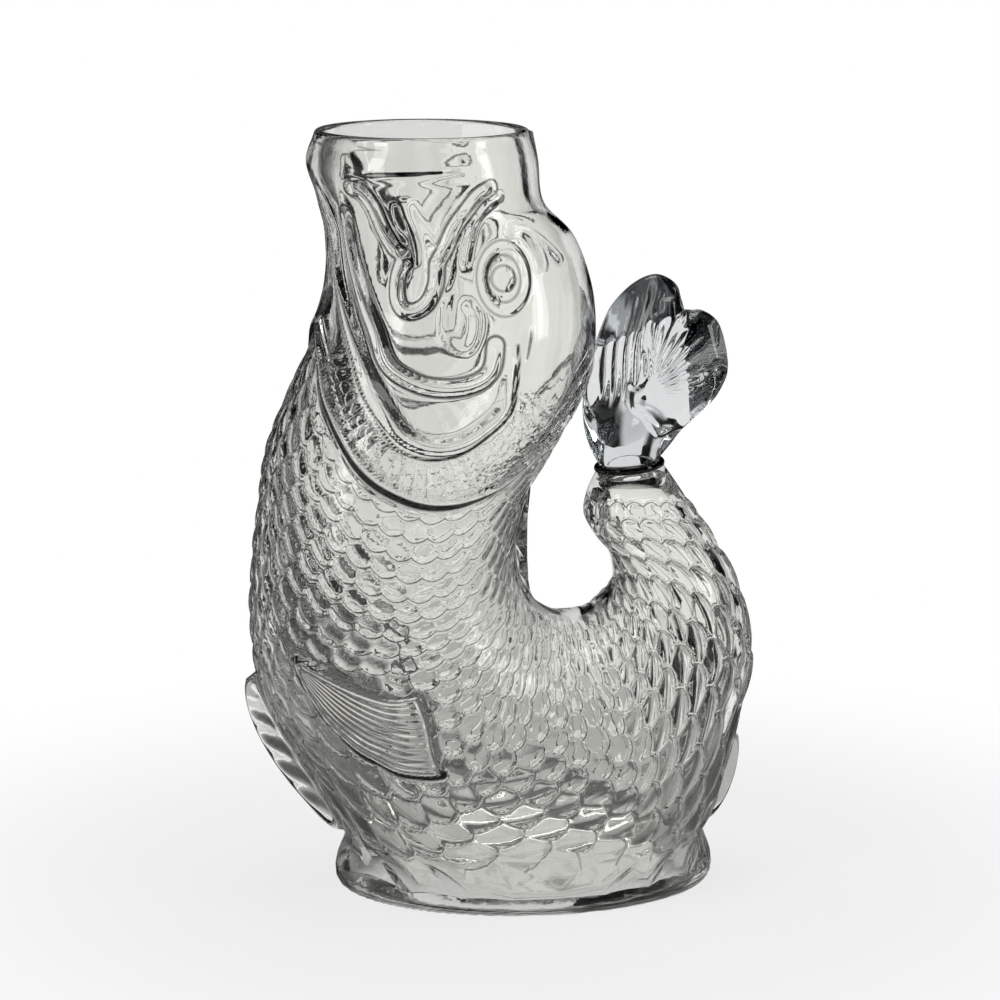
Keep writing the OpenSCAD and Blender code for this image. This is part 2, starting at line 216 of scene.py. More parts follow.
@dataclass(frozen=True)
class OvalFoot:
    """The oval foot that the fish stands on, in millimetres."""

    length: float = 126.0
    width: float = 92.0
    height: float = 16.5
    line_height: float = 4.5
    under: float = 3.0
    shoulder: float = 9.0
    steep: float = 6.0

    def gap(self, x: Array, y: Array, z: Array, depth: float = 0.0) -> Array:
        """Signed distance, about, from the foot's rounded edge.

        Args:
            x: Places along the fish.
            y: Places across the fish.
            z: Heights.
            depth: How far the edge is drawn in, for the inside of the glass.

        Returns:
            Below zero inside the foot. The edge is drawn in by a quarter ellipse below its widest line and
            by another above it, and runs off inwards above the foot's height.
        """
        z = np.maximum(z, 0.0)
        top = self.height - depth
        low = np.clip((self.line_height - z) / self.line_height, 0.0, 1.0)
        high = np.clip((z - self.line_height) / (top - self.line_height), 0.0, 1.0)
        inset = self.under * (1 - np.sqrt(1 - low**2)) + self.shoulder * (1 - np.sqrt(1 - high**2))
        inset = inset + depth + self.steep * np.maximum(z - top, 0.0)
        long = np.maximum(self.length / 2 - inset, 1.0)
        wide = long * self.width / self.length
        return (np.sqrt((x / long) ** 2 + (y / wide) ** 2) - 1.0) * wide


@dataclass(frozen=True)
class FishForm:
    """The smooth fish: oval sections between its back line and its belly line, from mouth to stub."""

    height: float = 250.0
    length: float = 166.0
    width: float = 94.0
    wall: float = 3.0
    bottom: float = 4.0
    mouth_radius: float = 34.5
    mouth_share: float = -0.2
    collar_bulge: float = 2.5
    collar_drop: float = 10.5
    stub_radius: float = 11.5
    stub_lean: float = np.radians(6.0)
    stub_shares: Span = (0.21, 0.55)
    fullness: float = 2.15
    foot: OvalFoot = OvalFoot()
    foot_blend: float = 5.0
    foot_wall: float = 3.5
    inner_blend: float = 9.0
    # Stations from each end over which the sections change from round to full
    round_ends: Span = (3.0, 2.0)
    # The rays' reach is looked for between shares of the section's own, the second one with a margin
    search: Triple = (0.2, 1.7, 10.0)
    halvings: int = 36
    far: float = 1e4
    # Back line x and z, belly line x and z, half width: shares of length, height and width
    shares: tuple[tuple[float, ...], ...] = (
        (0.035, 0.905, -0.400, 0.910, 0.385),
        (0.095, 0.860, -0.385, 0.865, 0.400),
        (0.130, 0.790, -0.390, 0.790, 0.430),
        (0.130, 0.715, -0.415, 0.730, 0.455),
        (0.100, 0.645, -0.465, 0.660, 0.475),
        (0.050, 0.580, -0.510, 0.585, 0.485),
        (0.000, 0.525, -0.525, 0.520, 0.490),
        (-0.020, 0.465, -0.540, 0.440, 0.495),
        (-0.015, 0.415, -0.545, 0.350, 0.500),
        (0.005, 0.385, -0.520, 0.260, 0.500),
        (0.035, 0.370, -0.415, 0.135, 0.500),
        (0.065, 0.360, -0.270, 0.000, 0.495),
        (0.095, 0.360, 0.000, -0.035, 0.475),
        (0.130, 0.365, 0.240, -0.030, 0.440),
        (0.155, 0.380, 0.370, 0.080, 0.395),
        (0.175, 0.395, 0.428, 0.205, 0.345),
        (0.180, 0.410, 0.460, 0.300, 0.300),
        (0.170, 0.440, 0.435, 0.390, 0.260),
        (0.145, 0.460, 0.385, 0.455, 0.225),
        (0.120, 0.490, 0.345, 0.495, 0.195),
        (0.125, 0.520, 0.315, 0.520, 0.165),
    )

    @property
    def lip_radius(self) -> float:
        """Radius of the round lip."""
        return self.wall / 2

    @property
    def mouth_x(self) -> float:
        """Place of the mouth's middle along the fish."""
        return self.mouth_share * self.length

    @property
    def stub_middle(self) -> Array:
        """Middle of the stub's end face, as x and z."""
        return np.array(self.stub_shares) * (self.length, self.height)

    def ring(self, z: float, radius: float) -> list[float]:
        """One round station about the mouth's axis."""
        return [self.mouth_x + radius, z, self.mouth_x - radius, z, radius]

    def stations(self, depth: float) -> Array:
        """Sections of the fish, drawn in from the outer skin.

        Args:
            depth: How far they are drawn in.

        Returns:
            One row each: back line x and z, belly line x and z, and half the width.
        """
        rim = self.ring(self.height - self.lip_radius, self.mouth_radius - depth)
        collar = self.ring(self.height - self.collar_drop, self.mouth_radius + self.collar_bulge - depth)
        rows = np.array(self.shares) * (self.length, self.height, self.length, self.height, self.width)
        inward = unit(rows[:, 2:4] - rows[:, 0:2]) * depth
        rows[:, 0:2] += inward
        rows[:, 2:4] -= inward
        rows[:, 4] -= depth
        across = np.array([np.cos(self.stub_lean), np.sin(self.stub_lean)])
        down = np.array([np.sin(self.stub_lean), -np.cos(self.stub_lean)])
        radius = self.stub_radius - depth
        middle = self.stub_middle + down * depth
        stub = [*(middle - across * radius), *(middle + across * radius), radius]
        return np.vstack([rim, collar, rows, stub])

    def skin(self, along: Array, turn: Array, side: SkinSide = SkinSide.OUTER) -> Array:
        """Points of the smooth skin.

        A ray leaves the middle of the section at the given turn and meets the superellipse
        |cos|^p / h^p + |sin|^p / w^p = r^-p. Outside it runs on until it leaves the smooth union of that
        section with the oval foot, found by halving, and stops at the resting plane. Inside it stops at
        the glass of the bottom.

        Args:
            along: Shares of the way from mouth to stub.
            turn: Turns from the back line, pi being the belly line.
            side: Which face of the wall.

        Returns:
            Points in millimetres, in the broadcast shape of along and turn.
        """
        along, turn = np.broadcast_arrays(np.asarray(along, float), np.asarray(turn, float))
        inner = side is SkinSide.INNER
        table = self.stations(self.wall if inner else 0.0)
        last = len(table) - 1
        station = through(table, along * last)
        back, belly, wide = station[..., 0:2], station[..., 2:4], station[..., 4]
        middle = (back + belly) / 2
        half = np.linalg.norm(belly - back, axis=-1) / 2
        lead = (belly - back) / (2 * half)[..., None]
        start, end = along * last / self.round_ends[0], (1 - along) * last / self.round_ends[1]
        power = mix(2.0, self.fullness, np.clip(start, 0, 1) * np.clip(end, 0, 1))
        ahead, aside = -np.cos(turn), np.sin(turn)
        oval = (np.abs(ahead / half) ** power + np.abs(aside / wide) ** power) ** (-1 / power)

        def spot(reach: Array) -> tuple[Array, Array, Array]:
            """The ray's point at that reach."""
            run = reach * ahead
            return middle[..., 0] + run * lead[..., 0], reach * aside, middle[..., 1] + run * lead[..., 1]

        reach = self._with_foot(oval, spot, inner)
        plane = self.bottom if inner else 0.0
        drop = ahead * lead[..., 1]
        stop = np.where(drop < -TINY, (plane - middle[..., 1]) / np.minimum(drop, -TINY), np.inf)
        if inner:
            return np.stack(spot(soft_least(reach, np.minimum(stop, self.far), self.inner_blend)), -1)
        x, y, z = spot(np.minimum(reach, stop))
        return np.stack([x, y, np.where(stop <= reach, plane, z)], -1)

    def _with_foot(
        self, oval: Array, spot: Callable[[Array], tuple[Array, Array, Array]], inner: bool,
    ) -> Array:
        """Reach of the rays through the smooth union of the fish's section and the foot.

        Args:
            oval: Reach to the fish's own section.
            spot: The rays' points at a reach.
            inner: Whether the foot is drawn in by its wall and blended more softly.

        Returns:
            The reach at which the polynomial smooth minimum of both gaps is zero.
        """
        depth, blend = (self.foot_wall, self.inner_blend) if inner else (0.0, self.foot_blend)
        low, high = oval * self.search[0], oval * self.search[1] + self.search[2]
        for _ in range(self.halvings):
            middle = (low + high) / 2
            fish, foot = middle - oval, self.foot.gap(*spot(middle), depth)
            union = soft_least(fish, foot, blend)
            low, high = np.where(union < 0, middle, low), np.where(union < 0, high, middle)
        return low

    def flank(self, places: Places, fine: int = 6) -> Array:
        """Points on one flank along a smooth curve through places.

        Args:
            places: Pairs of a share along and a share around, from the back line to the belly line.
            fine: Runs between two places.

        Returns:
            The points of the curve.
        """
        knots = np.array(places)
        curve = through(knots, np.linspace(0, len(knots) - 1, fine * (len(knots) - 1) + 1))
        return self.skin(curve[:, 0], np.pi * curve[:, 1])

    def on_stub(self, x: Array, y: Array, z: Array) -> Array:
        """Points given in the frame of the stub's leaning end face, moved to the jug's frame."""
        cos, sin = np.cos(self.stub_lean), np.sin(self.stub_lean)
        middle = self.stub_middle
        return np.stack([middle[0] + cos * x - sin * z, y, middle[1] + sin * x + cos * z], -1)


@dataclass
class SkinGrid:
    """The smooth skin sampled on a grid, with what the relief needs to know of each point."""

    form: FishForm
    along: Array
    turn: Array
    points: Array = field(init=False)
    normals: Array = field(init=False)
    around: Array = field(init=False)
    folded: Array = field(init=False)
    row_length: Array = field(init=False)

    def __post_init__(self) -> None:
        """Samples the skin, its outward normals, the share around each flank and the fish folded flat."""
        self.points = self.form.skin(self.along[:, None], self.turn[None, :])
        slope = np.gradient(self.points, self.along, axis=0)
        ring = np.roll(self.points, -1, axis=1) - np.roll(self.points, 1, axis=1)
        self.normals = unit(np.cross(slope, ring))
        self.around = np.minimum(self.turn, 2 * np.pi - self.turn) / np.pi
        self.folded = self.points * (1, 0, 1) + np.abs(self.points) * (0, 1, 0)
        self.row_length = np.linalg.norm(slope, axis=-1)

    def rows_near(self, low: float, high: float) -> slice:
        """The rows of the grid between two shares along."""
        return slice(int(np.searchsorted(self.along, low)), int(np.searchsorted(self.along, high)) + 1)


class NodeSums:
    """Sums of sockets and numbers in one node tree."""

    def __init__(self, tree: Tree) -> None:
        """Keeps the tree that the sums are added to."""
        self.tree = tree

    def __call__(self, operation: str, *values: Socket | float) -> Socket:
        """Adds one sum and returns its result."""
        node = self.tree.nodes.new("ShaderNodeMath")
        node.operation = operation
        for socket, value in zip(node.inputs, values):
            if isinstance(value, (int, float)):
                socket.default_value = value
            else:
                self.tree.links.new(value, socket)
        return node.outputs["Value"]

    def range(self, value: Socket, source: Span, target: Span) -> Socket:
        """Adds a smooth change from one value to another over a range."""
        node = self.tree.nodes.new("ShaderNodeMapRange")
        node.interpolation_type = "SMOOTHSTEP"
        node.inputs["From Min"].default_value, node.inputs["From Max"].default_value = source
        node.inputs["To Min"].default_value, node.inputs["To Max"].default_value = target
        self.tree.links.new(value, node.inputs["Value"])
        return node.outputs["Result"]

    def band(self, value: Socket, edges: Band, level: float) -> Socket:
        """Adds a smooth band: nothing outside its outer edges, and the level between its inner ones."""
        rising = self.range(value, edges[:2], (0.0, level))
        return self("MULTIPLY", rising, self.range(value, edges[2:], (1.0, 0.0)))

    def attribute(self, name: str) -> Socket:
        """Adds a look-up of a number that the mesh carries at each point."""
        node = self.tree.nodes.new("ShaderNodeAttribute")
        node.attribute_name = name
        return node.outputs["Fac"]


@dataclass(frozen=True)
class FlankLine:
    """A raised or sunk line of the mould, the same on both flanks."""

    places: Places
    rise: float
    half_width: float
    kind: Moulding = Moulding.RIDGE
    taper: float = 0.12
    reach: float = 0.06
    blunt: float = 0.25
    far: float = 3.0

    def _near(self, grid: SkinGrid) -> tuple[slice, Array, Array]:
        """The rows of the grid that the line can touch, and their distances and shares along it."""
        ends = [place[0] for place in self.places]
        rows = grid.rows_near(min(ends) - self.reach, max(ends) + self.reach)
        gap, share = path_gap(grid.folded[rows], grid.form.flank(self.places))
        return rows, gap, share

    def gap(self, grid: SkinGrid) -> Array:
        """Distance to the line in half widths, up to the far one."""
        out = np.full(grid.points.shape[:2], self.far)
        rows, gap, _ = self._near(grid)
        out[rows] = np.minimum(gap / self.half_width, self.far)
        return out

    def relief(self, grid: SkinGrid) -> Array:
        """Height over the skin: a raised cosine of the distance to the line, thinned out at its ends."""
        out = np.zeros(grid.points.shape[:2])
        rows, gap, share = self._near(grid)
        thin = smooth_step(0.0, self.taper, np.minimum(share, 1 - share) + self.blunt * self.taper)
        out[rows] = self.kind.value * self.rise * rounded(gap, self.half_width) * thin
        return out


@dataclass(frozen=True)
class GillCover:
    """The edge of the gill: a cover that stands over the scales behind it, with a rim along the edge."""

    places: Places = (
        (0.226, 0.0), (0.243, 0.10), (0.270, 0.17), (0.293, 0.23), (0.308, 0.27), (0.322, 0.32),
        (0.332, 0.40), (0.330, 0.48), (0.316, 0.57), (0.300, 0.64), (0.280, 0.71), (0.253, 0.80),
        (0.226, 0.88), (0.205, 0.97), (0.200, 1.0),
    )
    rise: float = 1.8
    edge: float = 1.6
    fall: float = 13.0
    rim: FlankLine = FlankLine(places[1:-1], 0.9, 3.6)
    foot_edge: float = 0.7
    foot_depth: float = 1.3
    foot_length: float = 4.0
    # Painted shade along the cover's foot: how dark it is, and the band that it fills
    foot_shade: float = 1.0
    shade_band: Band = (-1.1, -0.4, 1.4, 2.6)
    far: float = 60.0
    fine: int = 12

    def along_at(self, around: Array) -> Array:
        """Share along at which the cover ends, for shares around, from a curve through its places."""
        knots = np.array(self.places)
        curve = through(knots, np.linspace(0, len(knots) - 1, self.fine * len(knots)))
        return np.interp(around, curve[:, 1], curve[:, 0])

    def past(self, grid: SkinGrid) -> Array:
        """Distance past the edge towards the tail, in millimetres along the skin."""
        return (grid.along[:, None] - self.along_at(grid.around)[None, :]) * grid.row_length

    def relief(self, grid: SkinGrid) -> Array:
        """Height over the skin: full at the edge, dying away towards the head, and a rim on the edge."""
        past = self.past(grid)
        cover = self.rise * (1 - smooth_step(-self.edge, self.edge, past))
        return cover * np.exp(np.minimum(past, 0) / self.fall) + self.rim.relief(grid)

    def marks(self, grid: SkinGrid) -> Marks:
        """What the finish needs of each point: its distance past the edge."""
        return {"gill_past": np.clip(self.past(grid), -self.far, self.far)}

    def seams(self, sums: NodeSums) -> Seams:
        """The sharp foot of the cover: a groove, steep at the edge and slow to climb behind it, and painted
        shade along it.
        """
        past = sums.attribute("gill_past")
        edges = (-self.foot_edge, self.foot_edge, self.foot_edge, self.foot_length)
        groove = sums.band(past, edges, -self.foot_depth)
        return groove, sums.band(past, self.shade_band, self.foot_shade)


@dataclass(frozen=True)
class Eye:
    """The eye: a ring, a sunk iris and a domed pupil on each flank."""

    place: Span = (0.153, 0.411)
    width: float = 17.0
    height: float = 22.0
    ring_rise: float = 1.1
    ring_half: float = 2.6
    iris_depth: float = 0.5
    pupil_radius: float = 4.2
    pupil_rise: float = 1.2
    iris_edge: Span = (0.6, 0.95)
    # Painted shade along the ring's edges and round the pupil
    edge_shade: float = 0.7
    ring_band: Band = (1.3, 1.8, 2.1, 2.7)
    pupil_band: Band = (-0.9, -0.3, 0.1, 0.6)
    step: float = 0.004
    far: float = 20.0

    def _places(self, grid: SkinGrid) -> tuple[Array, Array, Array]:
        """Each point's distance across and down from the eye's middle, and whether it is near."""
        along, around = self.place
        middle = grid.form.skin(along, np.pi * around)
        across = unit(grid.form.skin(along, np.pi * (around + self.step)) - middle)
        down = grid.form.skin(along + self.step, np.pi * around) - middle
        down = unit(down - across * (down @ across))
        offset = grid.folded - middle
        return offset @ across, offset @ down, np.linalg.norm(offset, axis=-1) < 2 * self.height

    def _ring(self, x: Array, y: Array) -> tuple[Array, Array]:
        """The oval's own measure, 1 on the ring's line, and the distance outside that line."""
        half = (self.width / 2 - self.ring_half / 2, self.height / 2 - self.ring_half / 2)
        oval = np.sqrt((x / half[0]) ** 2 + (y / half[1]) ** 2)
        return oval, (oval - 1) * (half[0] + half[1]) / 2

    def marks(self, grid: SkinGrid) -> Marks:
        """What the finish needs of each point: its distances outside the ring's line and the pupil."""
        x, y, near = self._places(grid)
        ring = np.where(near, self._ring(x, y)[1], self.far)
        return {"eye_ring": ring, "eye_pupil": np.where(near, np.hypot(x, y) - self.pupil_radius, self.far)}

    def shade(self, sums: NodeSums) -> Socket:
        """Painted shade along the edges of ring and pupil."""
        ring = sums("ABSOLUTE", sums.attribute("eye_ring"))
        edges = sums.band(ring, self.ring_band, self.edge_shade)
        pupil = sums.band(sums.attribute("eye_pupil"), self.pupil_band, self.edge_shade)
        return sums("MAXIMUM", edges, pupil)

    def relief(self, grid: SkinGrid) -> Array:
        """Height over the skin: a raised cosine about an oval, less the iris, plus a flat half sphere."""
        x, y, near = self._places(grid)
        oval, gap = self._ring(x, y)
        ring = self.ring_rise * rounded(gap, self.ring_half)
        iris = self.iris_depth * (1 - smooth_step(*self.iris_edge, oval))
        pupil = self.pupil_rise * np.sqrt(np.clip(1 - (x**2 + y**2) / self.pupil_radius**2, 0.0, 1.0))
        return np.where(near, ring - iris + pupil, 0.0)


@dataclass(frozen=True)
class GillFrill:
    """The row of tabs between the cheek line and the gill line."""

    inner: Places = (
        (0.233, 0.36), (0.262, 0.38), (0.286, 0.43), (0.291, 0.51), (0.283, 0.59), (0.262, 0.67),
        (0.238, 0.74), (0.206, 0.81),
    )
    tabs: int = 24
    rise: float = 0.20
    fullness: float = 0.8
    span: Span = (0.18, 0.36)
    edge_fade: Span = (0.004, 0.010)
    end_fade: Span = (0.01, 0.04)
    foot_fade: Span = (0.6, 2.0)

    def marks(self, grid: SkinGrid, gill: GillCover) -> Marks:
        """What the finish needs of each point: its place in the row of tabs, and the tabs' height there."""
        place = np.zeros(grid.points.shape[:2])
        height = np.zeros(grid.points.shape[:2])
        rows = grid.rows_near(*self.span)
        gap, share = path_gap(grid.folded[rows], grid.form.flank(self.inner))
        edge = gill.along_at(grid.around)[None, :] - grid.along[rows, None]
        ends = smooth_step(*self.end_fade, share) * smooth_step(*self.end_fade, 1 - share)
        room = smooth_step(*self.edge_fade, edge) * ends
        outside = grid.along[rows, None] > np.interp(grid.around, *np.array(self.inner)[:, ::-1].T)[None, :]
        place[rows] = self.tabs * share
        height[rows] = self.rise * smooth_step(*self.foot_fade, gap) * room * outside
        return {"frill_place": place, "frill_height": height}

    def seams(self, sums: NodeSums) -> Seams:
        """The tabs: rounded pads, each a power of a half sine over an even share of their line."""
        wave = sums("ABSOLUTE", sums("SINE", sums("MULTIPLY", sums.attribute("frill_place"), np.pi)))
        return sums("MULTIPLY", sums("POWER", wave, self.fullness), sums.attribute("frill_height")), 0.0


@dataclass(frozen=True)
class HeadRelief:
    """Everything moulded on the head."""

    gill: GillCover = GillCover()
    # Painted shade beside the main lines, and its fade from the cheek's foot
    edge_band: Band = (0.55, 0.72, 0.82, 1.02)
    edge_shade: float = 0.95
    foot_edge: Span = (0.3, 1.1)
    eye: Eye = Eye()
    frill: GillFrill = GillFrill()
    cheek: FlankLine = FlankLine((
        (0.060, 0.93), (0.109, 0.90), (0.146, 0.89), (0.173, 0.84), (0.204, 0.78), (0.233, 0.71),
        (0.256, 0.64), (0.273, 0.58), (0.281, 0.51), (0.279, 0.45), (0.269, 0.41), (0.253, 0.38),
        (0.233, 0.39), (0.203, 0.41),
    ), 1.6, 4.2)
    # The foot of the cheek line on its outer side, along which shade is painted
    cheek_foot: FlankLine = FlankLine((
        (0.060, 0.953), (0.112, 0.922), (0.151, 0.909), (0.180, 0.856), (0.211, 0.793), (0.241, 0.722),
        (0.265, 0.648), (0.2825, 0.583), (0.2905, 0.510), (0.288, 0.443), (0.276, 0.398), (0.256, 0.358),
        (0.233, 0.366), (0.203, 0.386),
    ), 0.0, 1.0)
    jaw: FlankLine = FlankLine((
        (0.094, 0.80), (0.131, 0.82), (0.160, 0.79), (0.194, 0.73), (0.221, 0.68), (0.234, 0.60),
        (0.237, 0.53), (0.233, 0.47), (0.223, 0.44), (0.203, 0.44),
    ), 1.4, 3.8)
    lower_lip: FlankLine = FlankLine((
        (0.063, 0.750), (0.066, 0.711), (0.086, 0.689), (0.113, 0.694), (0.130, 0.683), (0.136, 0.661),
    ), 1.4, 3.2)
    mouth_corner: FlankLine = FlankLine((
        (0.139, 0.661), (0.154, 0.683), (0.169, 0.683), (0.177, 0.656), (0.172, 0.617), (0.158, 0.589),
        (0.142, 0.578),
    ), 1.5, 3.3, taper=0.05)
    upper_lip: FlankLine = FlankLine((
        (0.142, 0.578), (0.128, 0.544), (0.108, 0.500), (0.084, 0.433), (0.069, 0.389), (0.061, 0.344),
    ), 1.4, 3.2)
    lip_fold: FlankLine = FlankLine((
        (0.169, 0.589), (0.156, 0.561), (0.140, 0.539), (0.118, 0.500), (0.095, 0.433), (0.077, 0.378),
        (0.069, 0.333),
    ), 1.0, 2.6)
    drop: FlankLine = FlankLine((
        (0.157, 0.544), (0.172, 0.567), (0.190, 0.567), (0.203, 0.544), (0.207, 0.506), (0.193, 0.489),
        (0.177, 0.494), (0.169, 0.522),
    ), 0.7, 2.8)
    eye_fold: FlankLine = FlankLine((
        (0.145, 0.511), (0.125, 0.483), (0.100, 0.433), (0.079, 0.367), (0.067, 0.306),
    ), 1.1, 2.6)
    brow: FlankLine = FlankLine((
        (0.115, 0.361), (0.112, 0.311), (0.126, 0.294), (0.141, 0.289), (0.150, 0.300),
    ), 1.2, 2.8)
    brow_fold: FlankLine = FlankLine((
        (0.105, 0.339), (0.112, 0.294), (0.130, 0.256), (0.146, 0.222),
    ), 1.1, 3.0)
    cheek_mark: FlankLine = FlankLine(((0.190, 0.361), (0.204, 0.366), (0.217, 0.367)), 1.3, 2.0, taper=0.4)
    neck_crease: FlankLine = FlankLine((
        (0.055, 0.711), (0.052, 0.633), (0.050, 0.544), (0.048, 0.461), (0.045, 0.394),
    ), 0.6, 3.0, Moulding.GROOVE)
    mouth_floor: FlankLine = FlankLine((
        (0.070, 0.600), (0.100, 0.606), (0.126, 0.611), (0.150, 0.620),
    ), 1.2, 5.0, Moulding.GROOVE)

    @property
    def ridges(self) -> tuple[FlankLine, ...]:
        """All the raised lines."""
        return (
            self.cheek, self.jaw, self.lower_lip, self.mouth_corner, self.upper_lip, self.lip_fold,
            self.drop, self.eye_fold, self.brow, self.brow_fold, self.cheek_mark,
        )

    def marks(self, grid: SkinGrid) -> Marks:
        """What the finish needs of each point: its distances from the main lines and the cheek's foot, for
        the painted shade there.
        """
        main = (self.jaw, self.lower_lip, self.mouth_corner, self.upper_lip)
        lines = np.min([line.gap(grid) for line in main], axis=0)
        return {"head_gap": lines, "cheek_gap": self.cheek_foot.gap(grid)} | self.eye.marks(grid)

    def seams(self, sums: NodeSums) -> Seams:
        """No height, and painted shade along the edges of the main lines, where their flanks are steepest,
        along the cheek's foot and round the eye.
        """
        edges = sums.band(sums.attribute("head_gap"), self.edge_band, self.edge_shade)
        foot = sums.range(sums.attribute("cheek_gap"), self.foot_edge, (1.0, 0.0))
        return 0.0, sums("MAXIMUM", sums("MAXIMUM", edges, foot), self.eye.shade(sums))

    def relief(self, grid: SkinGrid) -> Array:
        """Height over the skin: the lines, the eye and the gill cover together."""
        high = np.max([line.relief(grid) for line in self.ridges], axis=0)
        low = self.neck_crease.relief(grid) + self.mouth_floor.relief(grid)
        return high + low + self.eye.relief(grid) + self.gill.relief(grid)


@dataclass(frozen=True)
class SideFin:
    """The fin that lies on each flank: a low fan with a thick edge and fine rays."""

    # From the root: upper edge, rear edge and lower edge, each a share along and a share around
    upper: Places = (
        (0.443, 0.733), (0.452, 0.689), (0.460, 0.656), (0.477, 0.594), (0.487, 0.550), (0.492, 0.500),
    )
    rear: Places = ((0.492, 0.500), (0.501, 0.506), (0.512, 0.517), (0.528, 0.544), (0.540, 0.556))
    lower: Places = (
        (0.446, 0.744), (0.460, 0.733), (0.473, 0.722), (0.487, 0.711), (0.498, 0.696), (0.507, 0.680),
        (0.514, 0.661), (0.525, 0.633), (0.535, 0.585), (0.540, 0.556),
    )
    rise: float = 1.5
    edge: float = 1.8
    rays: float = 11.0
    ray_depth: float = 0.055
    rim_rise: float = 0.35
    groove: float = 1.1
    # Painted shade along the fold below the lower edge
    fold_shade: float = 1.0
    span: Span = (0.40, 0.58)
    # Least distances from the middle plane, inside the outline and near it
    aside: Span = (20.0, 15.0)
    far: float = 50.0
    cover_edge: Span = (-2.0, -0.3)
    ray_start: Span = (1.6, 3.2)
    rim_band: Band = (0.0, 0.8, 0.9, 2.0)
    fold_band: Band = (-0.5, 0.6, 0.7, 2.6)
    # Band of that painted shade across the lower edge
    shade_band: Band = (-0.7, -0.1, 1.2, 2.4)

    def shape(self, grid: SkinGrid) -> Marks:
        """Distances inside the whole edge and below the lower edge, and the share from upper to lower edge.

        The fan is seen along Y: a point is inside where it lies within the outline of the three edges.
        """
        whole = grid.points.shape[:2]
        rows = grid.rows_near(*self.span)
        points = grid.folded[rows]
        upper, rear, lower = (grid.form.flank(line) for line in (self.upper, self.rear, self.lower))
        up, _ = path_gap(points, upper)
        down, _ = path_gap(points, lower)
        back, _ = path_gap(points, rear)
        outline = np.vstack([upper, rear[1:], lower[-2::-1]])[:, (0, 2)]
        inside = inside_outline(points[..., (0, 2)], outline) & (points[..., 1] > self.aside[0])
        beside = points[..., 1] > self.aside[1]
        near = np.where(beside, np.minimum(np.minimum(up, down), back), self.far)
        marks = {"fin_inside": np.full(whole, -self.far), "fin_under": np.full(whole, self.far)}
        marks["fin_way"] = np.zeros(whole)
        marks["fin_inside"][rows] = np.where(inside, near, -near)
        marks["fin_under"][rows] = np.where(inside, -down, np.where(beside, down, self.far))
        marks["fin_way"][rows] = up / np.maximum(up + down, TINY)
        return marks

    def relief(self, marks: Marks) -> tuple[Array, Array]:
        """Height over the skin, and the share of each point that the fin covers."""
        inside = marks["fin_inside"]
        height = self.rise * smooth_step(-self.edge / 2, self.edge / 2, inside)
        return height, smooth_step(*self.cover_edge, inside)

    def seams(self, sums: NodeSums) -> Seams:
        """The fine rays between the edges, the rolled edge, the deep fold below the lower edge and painted
        shade along that fold.
        """
        inside, under = sums.attribute("fin_inside"), sums.attribute("fin_under")
        wave = sums("COSINE", sums("MULTIPLY", sums.attribute("fin_way"), 2 * np.pi * self.rays))
        ray = sums("MULTIPLY", wave, sums.range(inside, self.ray_start, (0.0, self.ray_depth)))
        roll = sums.band(inside, self.rim_band, self.rim_rise)
        fold = sums.band(under, self.fold_band, -self.groove)
        shade = sums.band(under, self.shade_band, self.fold_shade)
        return sums("ADD", sums("ADD", ray, roll), fold), shade


@dataclass(frozen=True)
class MiddleFin:
    """A thin fin in the middle plane that stands out from the belly line, with slanted rays."""

    span: Span
    rise: float
    half_thick: float = 1.7
    flare: float = 1.2
    rays: int = 6
    slant: float = 0.9
    fullness: float = 0.4
    ray_rise: float = 0.25
    belly_share: float = 0.2
    flank_band: Band = (0.05, 0.3, 0.96, 1.0)
    clear: Span = (1.0, 4.0)
    crest_edge: Span = (0.0, 0.1)

    def relief(self, grid: SkinGrid) -> tuple[Array, Array, Array]:
        """Height over the skin, sideways shift of the rays, and the share of each point under the fin.

        The fin's height follows a low power of a half sine along its span, and falls to nothing across
        its flanks. The rays swell the flanks by a cosine of the share along, slanted with the height.
        """
        way = (grid.along[:, None] - self.span[0]) / (self.span[1] - self.span[0])
        crest = np.clip(np.sin(np.pi * np.clip(way, 0, 1)), 0, 1) ** self.fullness
        aside = np.abs(grid.points[..., 1])
        belly = np.abs(grid.around - 1)[None, :] < self.belly_share
        foot = smooth_step(self.half_thick - self.flare / 2, self.half_thick + self.flare, aside)
        wall = (1 - foot) * belly
        height = self.rise * crest * wall
        phase = way * self.rays + self.slant * height / self.rise
        low, high = self.flank_band[:2], self.flank_band[2:]
        flank = smooth_step(*low, wall) * (1 - smooth_step(*high, wall)) * crest
        swell = 0.5 - 0.5 * np.cos(2 * np.pi * phase)
        shift = np.sign(grid.points[..., 1]) * self.ray_rise * swell * flank
        away = smooth_step(self.half_thick + self.clear[0], self.half_thick + self.clear[1], aside)
        return height, shift, (1 - away) * belly * smooth_step(*self.crest_edge, crest)


